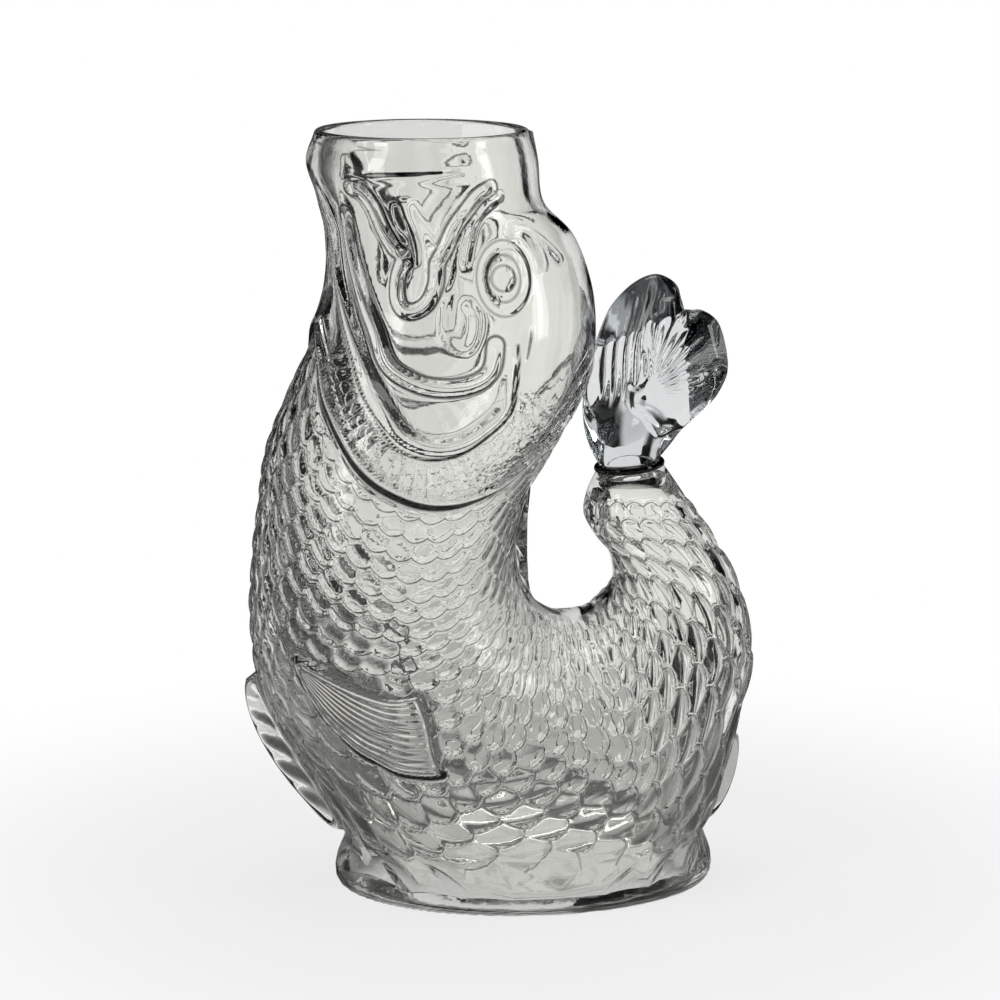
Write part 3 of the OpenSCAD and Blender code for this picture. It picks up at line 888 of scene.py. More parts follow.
@dataclass(frozen=True)
class ScaleCoat:
    """The overlapping scales from the gill to the stub.

    Rows are counted from the gill to the stub and columns from back to belly, and every other row is moved
    by half a column. A scale is a dome over a disc of half_width by half_length about a middle past its
    root. With d being 1 on the disc's edge, its height is lap times the rows past its middle, less
    crown d^2, and less drop (d^2 - 1) outside. The highest scale shows at each point.
    """

    rows: float = 31.5
    tail_pace: float = 0.5
    tail_taper: Span = (0.60, 0.75)
    columns: Span = (17.0, 9.0)
    column_taper: Span = (0.55, 0.90)
    depth_share: float = 0.31
    depth_range: Span = (0.9, 2.8)
    half_width: float = 0.57
    half_length: float = 0.63
    middle: float = 0.36
    lap: float = 0.50
    crown: float = 0.34
    drop: float = 1.6
    waist: Span = (13.5, 17.5)
    bare_back: Span = (0.05, 0.085)
    line_width: float = 0.30
    line_depth: float = 0.28
    # Painted shade along the lines between the scales, growing with the scales' depth
    shade_width: float = 0.15
    line_shade: float = 0.72
    shade_start: Span = (0.2, 0.6)
    # Behind the gill the scales start shallow
    first_depth: float = 0.4
    first_rows: Span = (1.0, 6.0)
    gill_fade: Span = (0.0, 0.5)
    stub_fade: Span = (0.93, 0.97)
    back_start: Span = (0.30, 0.36)
    deepest: float = -1.2
    lowest: float = -9.0
    # Rows past a point's own whose scales can reach it
    leads: tuple[int, ...] = (-1, 0, 1, 2)

    def marks(self, grid: SkinGrid, gill: GillCover) -> Marks:
        """Rows, columns and depth over the grid, the depth going to nothing where the fish is bare.

        Rows are even from the gill on and wider on the tail. Columns are counted from mid flank.
        """
        pace = mix(1.0, self.tail_pace, smooth_step(*self.tail_taper, grid.along))
        steps = (pace[1:] + pace[:-1]) / 2 * np.diff(grid.along)
        way = np.concatenate([[0.0], np.cumsum(steps)])
        start = np.interp(gill.along_at(grid.around), grid.along, way)[None, :]
        row = self.rows * (way[:, None] - start) / (way[-1] - start)
        count = mix(*self.columns, smooth_step(*self.column_taper, grid.along))[:, None]
        column = count * (grid.around[None, :] - 0.5)
        size = grid.row_length / np.gradient(row, grid.along, axis=0)
        here = mix(self.first_depth, 1.0, smooth_step(*self.first_rows, row))
        here = here * smooth_step(*self.gill_fade, row) * smooth_step(*self.waist, grid.points[..., 2])
        here = here * (1 - smooth_step(*self.stub_fade, grid.along))[:, None]
        bare = smooth_step(*self.back_start, grid.along)[:, None]
        here = here * mix(1.0, smooth_step(*self.bare_back, grid.around)[None, :], bare)
        depth = np.clip(self.depth_share * size, *self.depth_range) * here
        return {"scale_row": row, "scale_column": column, "scale_depth": depth}

    def relief(self, marks: Marks) -> Array:
        """Depth below the skin, so that the crests of the scales lie on it."""
        row, column = marks["scale_row"], marks["scale_column"]
        best = np.full(row.shape, -np.inf)
        for lead in self.leads:
            own = np.floor(row) + lead
            place = column - 0.5 * (own % 2)
            past = row - own - self.middle
            disc = ((place - np.round(place)) / self.half_width) ** 2 + (past / self.half_length) ** 2
            outside = self.drop * np.maximum(disc - 1, 0)
            best = np.maximum(best, self.lap * past - self.crown * disc - outside)
        top = (self.lap * self.half_length / 2) ** 2 / self.crown
        return marks["scale_depth"] * np.clip(best - top, self.deepest, 0.0)

    def seams(self, sums: NodeSums) -> Seams:
        """The fine lines between the scales, from the same formula.

        A line lies where the highest scale and the next one differ by less than line_width, and painted
        shade darkens it where they differ by less than shade_width.
        """
        row, column = sums.attribute("scale_row"), sums.attribute("scale_column")
        whole, part = sums("FLOOR", row), sums("FRACT", row)
        best = next_best = None
        for lead in self.leads:
            odd = sums("MODULO", sums("ADD", whole, lead + 2.0), 2.0)
            place = sums("SUBTRACT", column, sums("MULTIPLY", odd, 0.5))
            beside = sums("DIVIDE", sums("SUBTRACT", place, sums("ROUND", place)), self.half_width)
            past = sums("SUBTRACT", part, lead + self.middle)
            ahead = sums("DIVIDE", past, self.half_length)
            disc = sums("ADD", sums("MULTIPLY", beside, beside), sums("MULTIPLY", ahead, ahead))
            outside = sums("MULTIPLY", sums("MAXIMUM", sums("SUBTRACT", disc, 1.0), 0.0), self.drop)
            dome = sums("SUBTRACT", sums("MULTIPLY", past, self.lap), sums("MULTIPLY", disc, self.crown))
            scale = sums("SUBTRACT", dome, outside)
            if best is None:
                best, next_best = scale, self.lowest
            else:
                next_best = sums("MAXIMUM", sums("MINIMUM", best, scale), next_best)
                best = sums("MAXIMUM", best, scale)
        between, depth = sums("SUBTRACT", best, next_best), sums.attribute("scale_depth")
        line = sums.range(between, (0.0, self.line_width), (-self.line_depth, 0.0))
        shade = sums.range(between, (0.0, self.shade_width), (self.line_shade, 0.0))
        deep = sums.range(depth, self.shade_start, (0.0, 1.0))
        return sums("MULTIPLY", line, depth), sums("MULTIPLY", shade, deep)


@dataclass
class JugBody:
    """The blown shell: outer skin with the mould's relief, round lip, smooth inside and closed stub."""

    form: FishForm = field(default_factory=FishForm)
    head: HeadRelief = field(default_factory=HeadRelief)
    side_fin: SideFin = field(default_factory=SideFin)
    belly_fin: MiddleFin = field(default_factory=lambda: MiddleFin((0.464, 0.540), 7.6))
    vent_fin: MiddleFin = field(default_factory=lambda: MiddleFin((0.692, 0.735), 4.4, rays=4))
    scales: ScaleCoat = field(default_factory=ScaleCoat)
    outer_rings: int = 320
    inner_rings: int = 42
    columns: int = 264
    lip_rings: int = 6
    head_crowd: float = 0.5
    mouth_crowd: float = 3.0
    mouth_spread: float = 0.08
    belly_crowd: float = 8.0
    belly_spread: float = 0.09
    back_thin: float = 0.4
    back_spread: float = 0.35
    cap_shares: tuple[float, ...] = (0.75, 0.45, 0.18)
    head_end: Span = (0.30, 0.40)
    # Shares around whose lengths set the pace of the rings, and how finely lengths and turns are summed
    paced: tuple[float, ...] = (0.3, 0.55, 0.8, 1.0)
    way_steps: int = 1200
    turn_steps: int = 4000

    def turns(self) -> Array:
        """Turns of the grid's columns, crowded towards the belly line for the thin fins there."""
        fine = np.linspace(0, 2 * np.pi, self.turn_steps + 1)
        weight = 1 + self.belly_crowd * np.exp(-(((fine - np.pi) / self.belly_spread) ** 2))
        back = np.minimum(fine, 2 * np.pi - fine)
        weight = weight - self.back_thin * np.exp(-((back / self.back_spread) ** 2))
        total = np.concatenate([[0], np.cumsum((weight[1:] + weight[:-1]) / 2)])
        share = np.arange(self.columns) / self.columns
        return np.interp(share, total / total[-1], fine)

    def ways(self, count: int, side: SkinSide) -> Array:
        """Shares along for so many rings, even in the skin's mean length, but closer on head and mouth."""
        fine = np.linspace(0, 1, self.way_steps + 1)
        lines = self.form.skin(fine[:, None], np.pi * np.array(self.paced)[None, :], side)
        steps = np.linalg.norm(np.diff(lines, axis=0), axis=-1).mean(axis=1)
        if side is SkinSide.INNER:
            steps = steps * (1 + self.mouth_crowd * np.exp(-((fine[1:] / self.mouth_spread) ** 2)))
        else:
            steps = steps * (1 + self.head_crowd * (1 - smooth_step(*self.head_end, fine[1:])))
        total = np.concatenate([[0], np.cumsum(steps)])
        return np.interp(np.linspace(0, total[-1], count), total, fine)

    def outer(self) -> tuple[Array, Marks]:
        """The outer skin with all its relief, ring by ring from mouth to stub, and its marks."""
        grid = SkinGrid(self.form, self.ways(self.outer_rings, SkinSide.OUTER), self.turns())
        marks = self.side_fin.shape(grid) | self.scales.marks(grid, self.head.gill)
        marks |= self.head.gill.marks(grid) | self.head.frill.marks(grid, self.head.gill)
        marks |= self.head.marks(grid)
        fin, fin_cover = self.side_fin.relief(marks)
        belly, belly_shift, belly_cover = self.belly_fin.relief(grid)
        vent, vent_shift, vent_cover = self.vent_fin.relief(grid)
        bare = (1 - fin_cover) * (1 - belly_cover) * (1 - vent_cover)
        marks["scale_depth"] = marks["scale_depth"] * bare
        height = self.head.relief(grid) + self.scales.relief(marks) + fin + belly + vent
        points = grid.points + grid.normals * height[..., None]
        points[..., 1] += belly_shift + vent_shift
        return points, marks

    def lip(self, turns: Array) -> Array:
        """The round lip from the outer skin over to the inner skin: half a circle about the rim."""
        bend = np.pi * (np.arange(self.lip_rings) + 1) / (self.lip_rings + 1)
        radius = self.form.mouth_radius - self.form.lip_radius + self.form.lip_radius * np.cos(bend)
        z = self.form.height - self.form.lip_radius + self.form.lip_radius * np.sin(bend)
        x = self.form.mouth_x + radius[:, None] * np.cos(turns)
        y = radius[:, None] * np.sin(turns)
        return np.stack([x, y, np.broadcast_to(z[:, None], x.shape)], -1)

    def build(self) -> bpy.types.Object:
        """Builds the shell as one closed mesh.

        Returns:
            The piece: rings from the stub up the outside, over the lip and down the inside to the stub.
        """
        outer, marks = self.outer()
        outer = outer[::-1]
        turns = self.turns()
        ways = self.ways(self.inner_rings, SkinSide.INNER)
        inner = self.form.skin(ways[:, None], turns[None, :], SkinSide.INNER)
        caps = np.array(self.cap_shares)[:, None, None]
        stub, well = outer[0].mean(axis=0), inner[-1].mean(axis=0)
        rings = np.concatenate([
            mix(stub, outer[0], caps[::-1]), outer, self.lip(turns), inner, mix(well, inner[-1], caps)])
        piece = tube_mesh("glass_body", rings, (stub, well))
        self.keep_marks(piece, marks, len(self.cap_shares))
        return piece

    def keep_marks(self, piece: bpy.types.Object, marks: Marks, first: int) -> None:
        """Gives each point of the mesh the numbers that the finish draws its fine relief from.

        Args:
            piece: The shell.
            marks: The numbers over the outer skin, from mouth to stub. Elsewhere the first value holds.
            first: Rings before the outer skin in the mesh, which runs from stub to mouth.
        """
        for name, values in marks.items():
            full = np.full(len(piece.data.vertices), values[0, 0])
            full[first * self.columns:(first + self.outer_rings) * self.columns] = values[::-1].ravel()
            piece.data.attributes.new(name, "FLOAT", "POINT").data.foreach_set("value", full)


@dataclass
class TailBead:
    """The bead of clear glass between the stub and the fin."""

    form: FishForm
    thick: float = 3.0
    proud: float = 0.2
    gap: float = 0.06
    rings: int = 17
    columns: int = 96

    def build(self) -> bpy.types.Object:
        """Builds the bead: a flat disc with a round edge, turned about the stub's leaning axis."""
        bend = np.linspace(-np.pi / 2, np.pi / 2, self.rings)
        edge = self.thick / 2 - self.gap
        radius = self.form.stub_radius + self.proud - self.thick / 2 + edge * np.cos(bend)
        height = self.thick / 2 + edge * np.sin(bend)
        turn = 2 * np.pi * np.arange(self.columns) / self.columns
        rings = self.form.on_stub(radius[:, None] * np.cos(turn), radius[:, None] * np.sin(turn),
                        np.broadcast_to(height[:, None], (self.rings, self.columns)))
        return tube_mesh("joining_bead", rings, (rings[0].mean(axis=0), rings[-1].mean(axis=0)))


@dataclass(frozen=True)
class FarLobe:
    """The leaf at the outside of the fin, which stands in front of the rest on both faces.

    Places are in millimetres in the fin's own plane, from the middle of its root.
    """

    outline: Places = (
        (15.5, 52.0), (14.5, 48.6), (10.2, 45.9), (8.8, 38.2), (9.4, 30.3), (6.2, 24.8), (2.8, 23.3),
        (2.0, 18.1), (5.2, 14.4), (7.7, 9.8), (10.0, 8.0), (16.2, 9.0), (24.0, 10.0), (31.0, 14.0),
        (38.0, 22.0), (40.0, 32.0), (38.0, 44.0), (30.0, 53.0),
    )
    lift: float = 1.8
    edge: float = 0.9
    fan: Span = (6.7, 22.8)
    # Turn in degrees from the fan's middle, and how far the ray there runs
    reach: Places = ((-15.0, 13.0), (-7.0, 15.0), (10.0, 20.5), (25.0, 26.0), (35.0, 27.0), (95.0, 27.0))
    ray_turn: float = 12.0
    ray_rise: float = 1.3
    bowl: Span = (10.5, 17.0)
    bowl_radius: float = 7.0
    bowl_depth: float = 1.6
    roll: float = 0.8
    roll_at: float = 0.90
    roll_width: float = 0.06
    # Where the rays start and stop: from the middle, about their reach, by their turn, inside the outline
    ray_start: Span = (4.0, 9.0)
    ray_stop: Span = (-3.0, 0.5)
    first_turn: Span = (-20.0, -8.0)
    inset: Span = (0.5, 2.5)
    ray_power: float = 0.9
    ray_mean: float = 0.6
    fine: int = 6

    def relief(self, x: Array, z: Array, up: Array) -> tuple[Array, Array]:
        """Height over the fin's faces, and the share of each point that the lobe covers.

        The lobe is a step along its outline. Rays fan out from one middle, by a cosine of the turn about
        it, a bowl is sunk beside that middle, and the outer edge is rolled.
        """
        knots = np.array(self.outline + self.outline[:1])
        curve = through(knots, np.linspace(0, len(knots) - 1, self.fine * len(knots)))
        flat = np.stack([x, z], -1)
        gap, _ = path_gap(flat, curve)
        signed = np.where(inside_outline(flat, curve), gap, -gap)
        cover = smooth_step(-self.edge, self.edge, signed)
        out_x, out_z = x - self.fan[0], z - self.fan[1]
        turn, far = np.degrees(np.arctan2(out_z, out_x)), np.hypot(out_x, out_z)
        run = np.interp(turn, *np.array(self.reach).T)
        shown = smooth_step(*self.ray_start, far) * smooth_step(*self.first_turn, turn)
        shown = shown * (1 - smooth_step(run + self.ray_stop[0], run + self.ray_stop[1], far))
        shown = shown * smooth_step(*self.inset, signed)
        wave = np.abs(np.sin(np.pi * turn / self.ray_turn)) ** self.ray_power - self.ray_mean
        ray = self.ray_rise * wave * shown
        below = (x - self.bowl[0]) ** 2 + (z - self.bowl[1]) ** 2
        bowl = self.bowl_depth * np.exp(-below / self.bowl_radius**2)
        roll = self.roll * np.exp(-(((up - self.roll_at) / self.roll_width) ** 2))
        return cover * (self.lift + ray - bowl + roll), cover


@dataclass(frozen=True)
class NearRays:
    """The upright rays of the lobe nearer the head, beside a smooth band along its edge."""

    foot: Span = (-7.9, 20.7)
    top: Span = (0.6, 53.6)
    pitch: float = 3.6
    count: float = 4.5
    depth: float = 1.1
    sway: float = 0.18
    sway_length: float = 5.0
    first: Span = (-0.6, -0.2)
    last_fade: float = 0.4
    low: Span = (17.0, 27.0)
    high: Span = (54.0, 60.0)

    def relief(self, x: Array, z: Array) -> Array:
        """Height over the fin's faces: grooves at an even pitch from a leaning line, swaying a little."""
        lean = (self.top[0] - self.foot[0]) / (self.top[1] - self.foot[1])
        phase = (x - self.foot[0] - lean * (z - self.foot[1])) / self.pitch
        phase = phase + self.sway * np.sin(z / self.sway_length)
        groove = 0.5 + 0.5 * np.cos(2 * np.pi * phase)
        last = smooth_step(self.count - self.last_fade, self.count, phase)
        here = smooth_step(*self.first, phase) * (1 - last)
        here = here * smooth_step(*self.low, z) * (1 - smooth_step(*self.high, z))
        return -self.depth * groove * here


@dataclass
class TailFin:
    """The solid smoky fin: a near lobe with upright rays and a far lobe with a fan, on a round root."""

    form: FishForm
    bead: TailBead
    far_lobe: FarLobe = field(default_factory=FarLobe)
    near_rays: NearRays = field(default_factory=NearRays)
    height: float = 60.0
    spread: float = 49.0
    root_radius: float = 10.0
    thick: float = 8.5
    edge_thick: float = 2.0
    strips: int = 300
    rises: int = 140
    rise_power: float = 0.9
    edge_power: int = 10
    root_share: float = 0.6
    side_powers: Span = (0.5, 0.22)
    # Shares of the thickness of the rings that close the root and the outer edge
    root_caps: Span = (0.35, 0.8)
    edge_caps: Span = (0.6, 0.2)
    # End of each ray and the place that its curve leans to: shares of spread and height
    shares: tuple[tuple[float, ...], ...] = (
        (-0.160, 0.630, -0.370, 0.270),
        (-0.100, 0.735, -0.330, 0.300),
        (-0.020, 0.850, -0.270, 0.330),
        (0.090, 0.935, -0.200, 0.370),
        (0.200, 0.985, -0.120, 0.380),
        (0.300, 1.000, -0.060, 0.400),
        (0.385, 0.970, 0.000, 0.400),
        (0.440, 0.915, 0.060, 0.400),
        (0.470, 0.790, 0.120, 0.380),
        (0.580, 0.775, 0.150, 0.370),
        (0.665, 0.725, 0.165, 0.350),
        (0.705, 0.650, 0.185, 0.325),
        (0.725, 0.525, 0.205, 0.300),
        (0.720, 0.430, 0.235, 0.260),
        (0.680, 0.360, 0.260, 0.215),
        (0.600, 0.280, 0.290, 0.150),
        (0.430, 0.200, 0.330, 0.085),
    )

    def surface(self, turn: Array, up: Array) -> Array:
        """Points of the fin.

        A ray runs on a quadratic curve from the root over its leaning place to its end. Half the thickness
        falls from the root's radius to the lobe's and closes round the outer edge as sqrt(1 - up^n). The
        rays of the near lobe and the whole far lobe are added on both faces.

        Args:
            turn: Turns about the fin, 0 to pi on the near face and on to 2 pi on the other.
            up: Shares of the way from root to edge.

        Returns:
            Points in the frame of the stub's end face.
        """
        turn, up = np.broadcast_arrays(turn, up)
        across = 0.5 - 0.5 * np.cos(turn)
        row = through(np.array(self.shares), across * (len(self.shares) - 1))
        root = np.stack([self.root_radius * (2 * across - 1), np.zeros_like(across)], -1)
        lean = row[..., 2:4] * (self.spread, self.height)
        end = row[..., 0:2] * (self.spread, self.height)
        u = up[..., None]
        spot = root * (1 - u) ** 2 + 2 * lean * u * (1 - u) + end * u**2
        x, z = spot[..., 0], spot[..., 1]
        lobe, cover = self.far_lobe.relief(x, z, up)
        rays = self.near_rays.relief(x, z) * (1 - cover)
        edge = np.sqrt(1 - up**self.edge_power)
        thick = mix(self.root_radius, self.thick / 2, smooth_step(0.0, self.root_share, up)) + lobe + rays
        side = (4 * across * (1 - across)) ** mix(*self.side_powers, up)
        depth = (thick * edge + self.edge_thick / 2 * up) * side
        return np.stack([x, -np.sign(np.sin(turn)) * depth, z], -1)

    def build(self) -> bpy.types.Object:
        """Builds the fin as a closed stack of rings from the root to the outer edge."""
        turn = 2 * np.pi * np.arange(self.strips) / self.strips
        up = np.linspace(0, 1, self.rises) ** self.rise_power
        local = self.surface(turn[None, :], up[:, None])
        flat = local * (1, 0, 1)
        lift = self.bead.thick + self.bead.gap
        levels = [mix(flat[0], local[0], share) for share in self.root_caps] + list(local)
        levels += [mix(flat[-1], local[-1], share) for share in self.edge_caps]
        rings = np.array(levels)
        placed = self.form.on_stub(rings[..., 0], rings[..., 1], rings[..., 2] + lift)
        middle = self.strips // 4
        return tube_mesh("smoky_tail_fin", placed, (placed[0].mean(axis=0), placed[-1, middle]))


class FineRelief(Protocol):
    """A part of the mould whose finest lines are drawn by the finish."""

    def seams(self, sums: NodeSums) -> Seams:
        """Height of the fine lines in millimetres, and how much painted shade darkens the glass in its
        creases.
        """


@dataclass(frozen=True)
class BlownGlass:
    """A fire-polished glass: its tint by depth, its slight waviness, the fine lines of the mould and
    painted shade in their creases.
    """

    name: str
    tint: Triple
    density: float
    cast: Triple = (1.0, 1.0, 1.0)
    wave_scale: float = 55.0
    wave_height: float = 0.12
    wave_detail: float = 2.0
    ripple_scale: float = 420.0
    ripple_height: float = 0.02
    ripple_detail: float = 3.0
    haze: Span = (0.0, 0.025)
    haze_noise: Span = (0.45, 0.75)
    index: float = 1.5
    # Colour of the painted shade in the creases of the fine lines
    painted_crease_shade: Triple = (0.0005, 0.0005, 0.0005)
    lines: tuple[FineRelief, ...] = ()

    def material(self) -> bpy.types.Material:
        """Makes the finish.

        Returns:
            A material with a transmitting shader, a roughness that drifts between the two haze values, a
            bump of slow waves and fine ripples, and a plain absorption inside. Where there are fine lines,
            their height is one more bump, and painted shade darkens the base colour in their creases.
        """
        material, tree = new_finish(self.name)
        output = tree.nodes.new("ShaderNodeOutputMaterial")
        glass = tree.nodes.new("ShaderNodeBsdfPrincipled")
        glass.inputs["Base Color"].default_value = (*self.cast, 1.0)
        glass.inputs["Transmission Weight"].default_value = 1.0
        glass.inputs["IOR"].default_value = self.index
        place = tree.nodes.new("ShaderNodeTexCoord")
        wave = self._noise(tree, place, self.wave_scale, self.wave_detail)
        ripple = self._noise(tree, place, self.ripple_scale, self.ripple_detail)
        haze = tree.nodes.new("ShaderNodeMapRange")
        haze.inputs["From Min"].default_value, haze.inputs["From Max"].default_value = self.haze_noise
        haze.inputs["To Min"].default_value, haze.inputs["To Max"].default_value = self.haze
        tree.links.new(ripple.outputs["Fac"], haze.inputs["Value"])
        tree.links.new(haze.outputs["Result"], glass.inputs["Roughness"])
        slow = self._bump(tree, wave.outputs["Fac"], self.wave_height)
        fine = self._bump(tree, ripple.outputs["Fac"], self.ripple_height)
        tree.links.new(slow.outputs["Normal"], fine.inputs["Normal"])
        if self.lines:
            self._draw_lines(tree, glass, slow)
        tree.links.new(fine.outputs["Normal"], glass.inputs["Normal"])
        inside = tree.nodes.new("ShaderNodeVolumeAbsorption")
        inside.inputs["Color"].default_value = (*self.tint, 1.0)
        inside.inputs["Density"].default_value = self.density
        tree.links.new(glass.outputs["BSDF"], output.inputs["Surface"])
        tree.links.new(inside.outputs["Volume"], output.inputs["Volume"])
        return material

    def _draw_lines(self, tree: Tree, glass: bpy.types.Node, slow: bpy.types.Node) -> None:
        """Adds up the fine lines of all the parts.

        Args:
            tree: The finish's node tree.
            glass: The shader whose base colour is darkened by painted shade in the creases.
            slow: The bump of slow waves, which the lines' bump goes before.
        """
        sums = NodeSums(tree)
        total = shade = 0.0
        for part in self.lines:
            height, painted_crease_shade = part.seams(sums)
            total = sums("ADD", height, total)
            shade = sums("MAXIMUM", painted_crease_shade, shade)
        # Painted shade: the base colour goes towards the painted shade colour in the parts' creases
        colour = tree.nodes.new("ShaderNodeMix")
        colour.data_type = "RGBA"
        colour.inputs["A"].default_value = (*self.cast, 1.0)
        colour.inputs["B"].default_value = (*self.painted_crease_shade, 1.0)
        tree.links.new(shade, colour.inputs["Factor"])
        tree.links.new(colour.outputs["Result"], glass.inputs["Base Color"])
        seams = self._bump(tree, total, 1.0)
        tree.links.new(seams.outputs["Normal"], slow.inputs["Normal"])

    @staticmethod
    def _noise(
        tree: Tree, place: bpy.types.Node, scale: float, detail: float,
    ) -> bpy.types.Node:
        """A noise on Object coordinates."""
        node = tree.nodes.new("ShaderNodeTexNoise")
        node.inputs["Scale"].default_value = scale
        node.inputs["Detail"].default_value = detail
        tree.links.new(place.outputs["Object"], node.inputs["Vector"])
        return node

    @staticmethod
    def _bump(tree: Tree, source: Socket, height: float) -> bpy.types.Node:
        """A bump whose source counts so many millimetres."""
        node = tree.nodes.new("ShaderNodeBump")
        node.inputs["Strength"].default_value = 1.0
        node.inputs["Distance"].default_value = height * MM
        tree.links.new(source, node.inputs["Height"])
        return node


class LampRole(Enum):
    """What each lamp of the studio does."""

    LEFT_BOX = "left_box"
    RIGHT_BOX = "right_box"
    TOP_BOX = "top_box"


@dataclass(frozen=True)
class SoftBox:
    """One soft lamp: what it does, its place, width and height in millimetres, and its share of power."""

    role: LampRole
    place: Triple
    size: Span
    share: float = 1.0


@dataclass
class Studio:
    """White floor and surroundings with dark flags between them, soft lamps, and the camera.

    Glass shows what stands round it, so flags, floor rings and card make its light and dark. Their spans
    are turns or cosines of them, heights on a sphere of radius 1, or distances in metres, and their
    levels are brightnesses.
    """

    look: Triple = (-8.0, 0.0, 128.2)
    distance: float = 1150.0
    pitch: float = np.radians(11.5)
    azimuth: float = np.radians(-7.0)
    sensor: float = 36.0
    focal_share: float = 3.515
    clip_start: float = 0.01
    floor_radius: float = 520.0
    floor_hole: float = 0.02
    floor_drop: float = 0.02
    floor_rings: int = 24
    floor_columns: int = 128
    paper: float = 0.9
    shadow_share: float = 0.22
    shadow_fade: Span = (0.10, 0.30)
    backdrop: float = 0.74
    flags: float = 10.0
    flag_turn: float = np.radians(5.0)
    flag_wave: Span = (-0.40, 0.60)
    flag_level: float = 0.005
    front_turn: Span = (0.9, 1.8)
    front_fill: float = 0.2
    low_edge: Span = (-0.03, 0.08)
    between: float = 0.005
    top_edge: Span = (0.72, 0.86)
    top_level: float = 1.0
    flag_origin: float = 0.30
    floor_flag: float = 0.02
    slope: Span = (0.20, 0.48)
    mid_level: float = 0.46
    gleam: Band = (0.255, 0.275, 0.315, 0.345)
    gleam_level: float = 0.9
    far_floor: Span = (0.075, 0.125)
    ring_level: float = 0.03
    ring_end: Span = (0.045, 0.065)
    near_floor: Span = (0.046, 0.066)
    near_level: float = 0.65
    gloss_share: float = 0.35
    lamp_power: float = 2.5
    boxes: tuple[SoftBox, ...] = (
        SoftBox(LampRole.LEFT_BOX, (-900.0, -700.0, 500.0), (300.0, 700.0)),
        SoftBox(LampRole.RIGHT_BOX, (900.0, -500.0, 420.0), (200.0, 600.0), 0.6),
        SoftBox(LampRole.TOP_BOX, (0.0, 100.0, 1100.0), (500.0, 500.0)),
    )
    card_width: Span = (10.0, 320.0)
    card_height: Span = (60.0, 700.0)
    card_back: float = 250.0
    card_level: float = 0.85
    bounces: int = 28

    def camera(self) -> None:
        """Puts the camera at the photograph's angle and distance."""
        level = np.cos(self.pitch)
        back = Vector((np.sin(self.azimuth) * level, -np.cos(self.azimuth) * level, np.sin(self.pitch)))
        data = bpy.data.cameras.new("camera")
        data.sensor_width = self.sensor
        data.lens = self.sensor * self.focal_share
        data.clip_start = self.clip_start
        camera = new_object("camera", data)
        camera.location = (Vector(self.look) + back * self.distance) * MM
        camera.rotation_euler = back.to_track_quat("Z", "Y").to_euler()
        bpy.context.scene.camera = camera

    def floor(self) -> None:
        """Lays a round pale floor, with a share of true shadow near the jug."""
        rows, each = self.floor_rings, self.floor_columns
        turn = 2 * np.pi * np.arange(each) / each
        radius = np.linspace(self.floor_hole, 1, rows)[:, None] * self.floor_radius
        level = np.full((rows, each), -self.floor_drop)
        rings = np.stack([radius * np.cos(turn), radius * np.sin(turn), level], -1)
        points = np.vstack([rings.reshape(-1, 3), [[0, 0, -self.floor_drop]]]) * MM
        here, beside = np.arange(each), (np.arange(each) + 1) % each
        middle = np.stack([np.full(each, rows * each), here, beside], -1).tolist()
        quads = [face[::-1] for face in ring_faces(rows, each)]
        mesh = bpy.data.meshes.new("pale_floor")
        mesh.from_pydata(points.tolist(), [], quads + middle)
        mesh.update()
        floor = new_object("pale_floor", mesh)
        mesh.materials.append(self.floor_material())

    def card(self) -> None:
        """Hangs a white card behind the tail, which shows only through glass and lights nothing."""
        x, z = self.card_width, self.card_height
        points = [(x[0], z[0]), (x[1], z[0]), (x[1], z[1]), (x[0], z[1])]
        mesh = bpy.data.meshes.new("tail_card")
        mesh.from_pydata([(a * MM, self.card_back * MM, b * MM) for a, b in points], [], [(0, 1, 2, 3)])
        mesh.update()
        material, tree = new_finish("white_card")
        glow = tree.nodes.new("ShaderNodeEmission")
        glow.inputs["Strength"].default_value = self.card_level
        output = tree.nodes.new("ShaderNodeOutputMaterial")
        tree.links.new(glow.outputs["Emission"], output.inputs["Surface"])
        mesh.materials.append(material)
        card = new_object("tail_card", mesh)
        for kind in ("camera", "diffuse", "glossy", "shadow", "volume_scatter"):
            setattr(card, f"visible_{kind}", False)

    def floor_material(self) -> bpy.types.Material:
        """White paper: plain diffuse to the lamps, and mostly a glow to eye, gloss and glass.

        The eye sees a glow of strength 1. Glass and gloss see flags fanned out from a place before the jug,
        a dark ring about the foot, a bright patch below it and a bright ring farther out.
        """
        material, tree = new_finish("white_paper")
        sums = NodeSums(tree)
        output = tree.nodes.new("ShaderNodeOutputMaterial")
        paper = tree.nodes.new("ShaderNodeBsdfDiffuse")
        paper.inputs["Color"].default_value = (self.paper, self.paper, self.paper, 1.0)
        glow = tree.nodes.new("ShaderNodeEmission")
        place = tree.nodes.new("ShaderNodeTexCoord")
        length = tree.nodes.new("ShaderNodeVectorMath")
        length.operation = "LENGTH"
        tree.links.new(place.outputs["Object"], length.inputs[0])
        far = length.outputs["Value"]
        fade = sums.range(far, self.shadow_fade, (1 - self.shadow_share, 1.0))
        axes = tree.nodes.new("ShaderNodeSeparateXYZ")
        tree.links.new(place.outputs["Object"], axes.inputs["Vector"])
        ahead = sums("ADD", axes.outputs["Y"], self.flag_origin)
        turn = sums("SUBTRACT", sums("ARCTAN2", axes.outputs["X"], ahead), self.flag_turn)
        wave = sums("COSINE", sums("MULTIPLY", turn, self.flags))
        flag = sums.range(wave, self.flag_wave, (self.floor_flag, 1.0))
        slope = sums.range(far, self.slope, (self.mid_level, self.backdrop))
        slope = sums("MAXIMUM", slope, sums.band(far, self.gleam, self.gleam_level))
        ring = sums.range(far, self.far_floor, (self.ring_level, 1.0))
        beside = sums.range(axes.outputs["X"], self.ring_end, (0.0, 1.0))
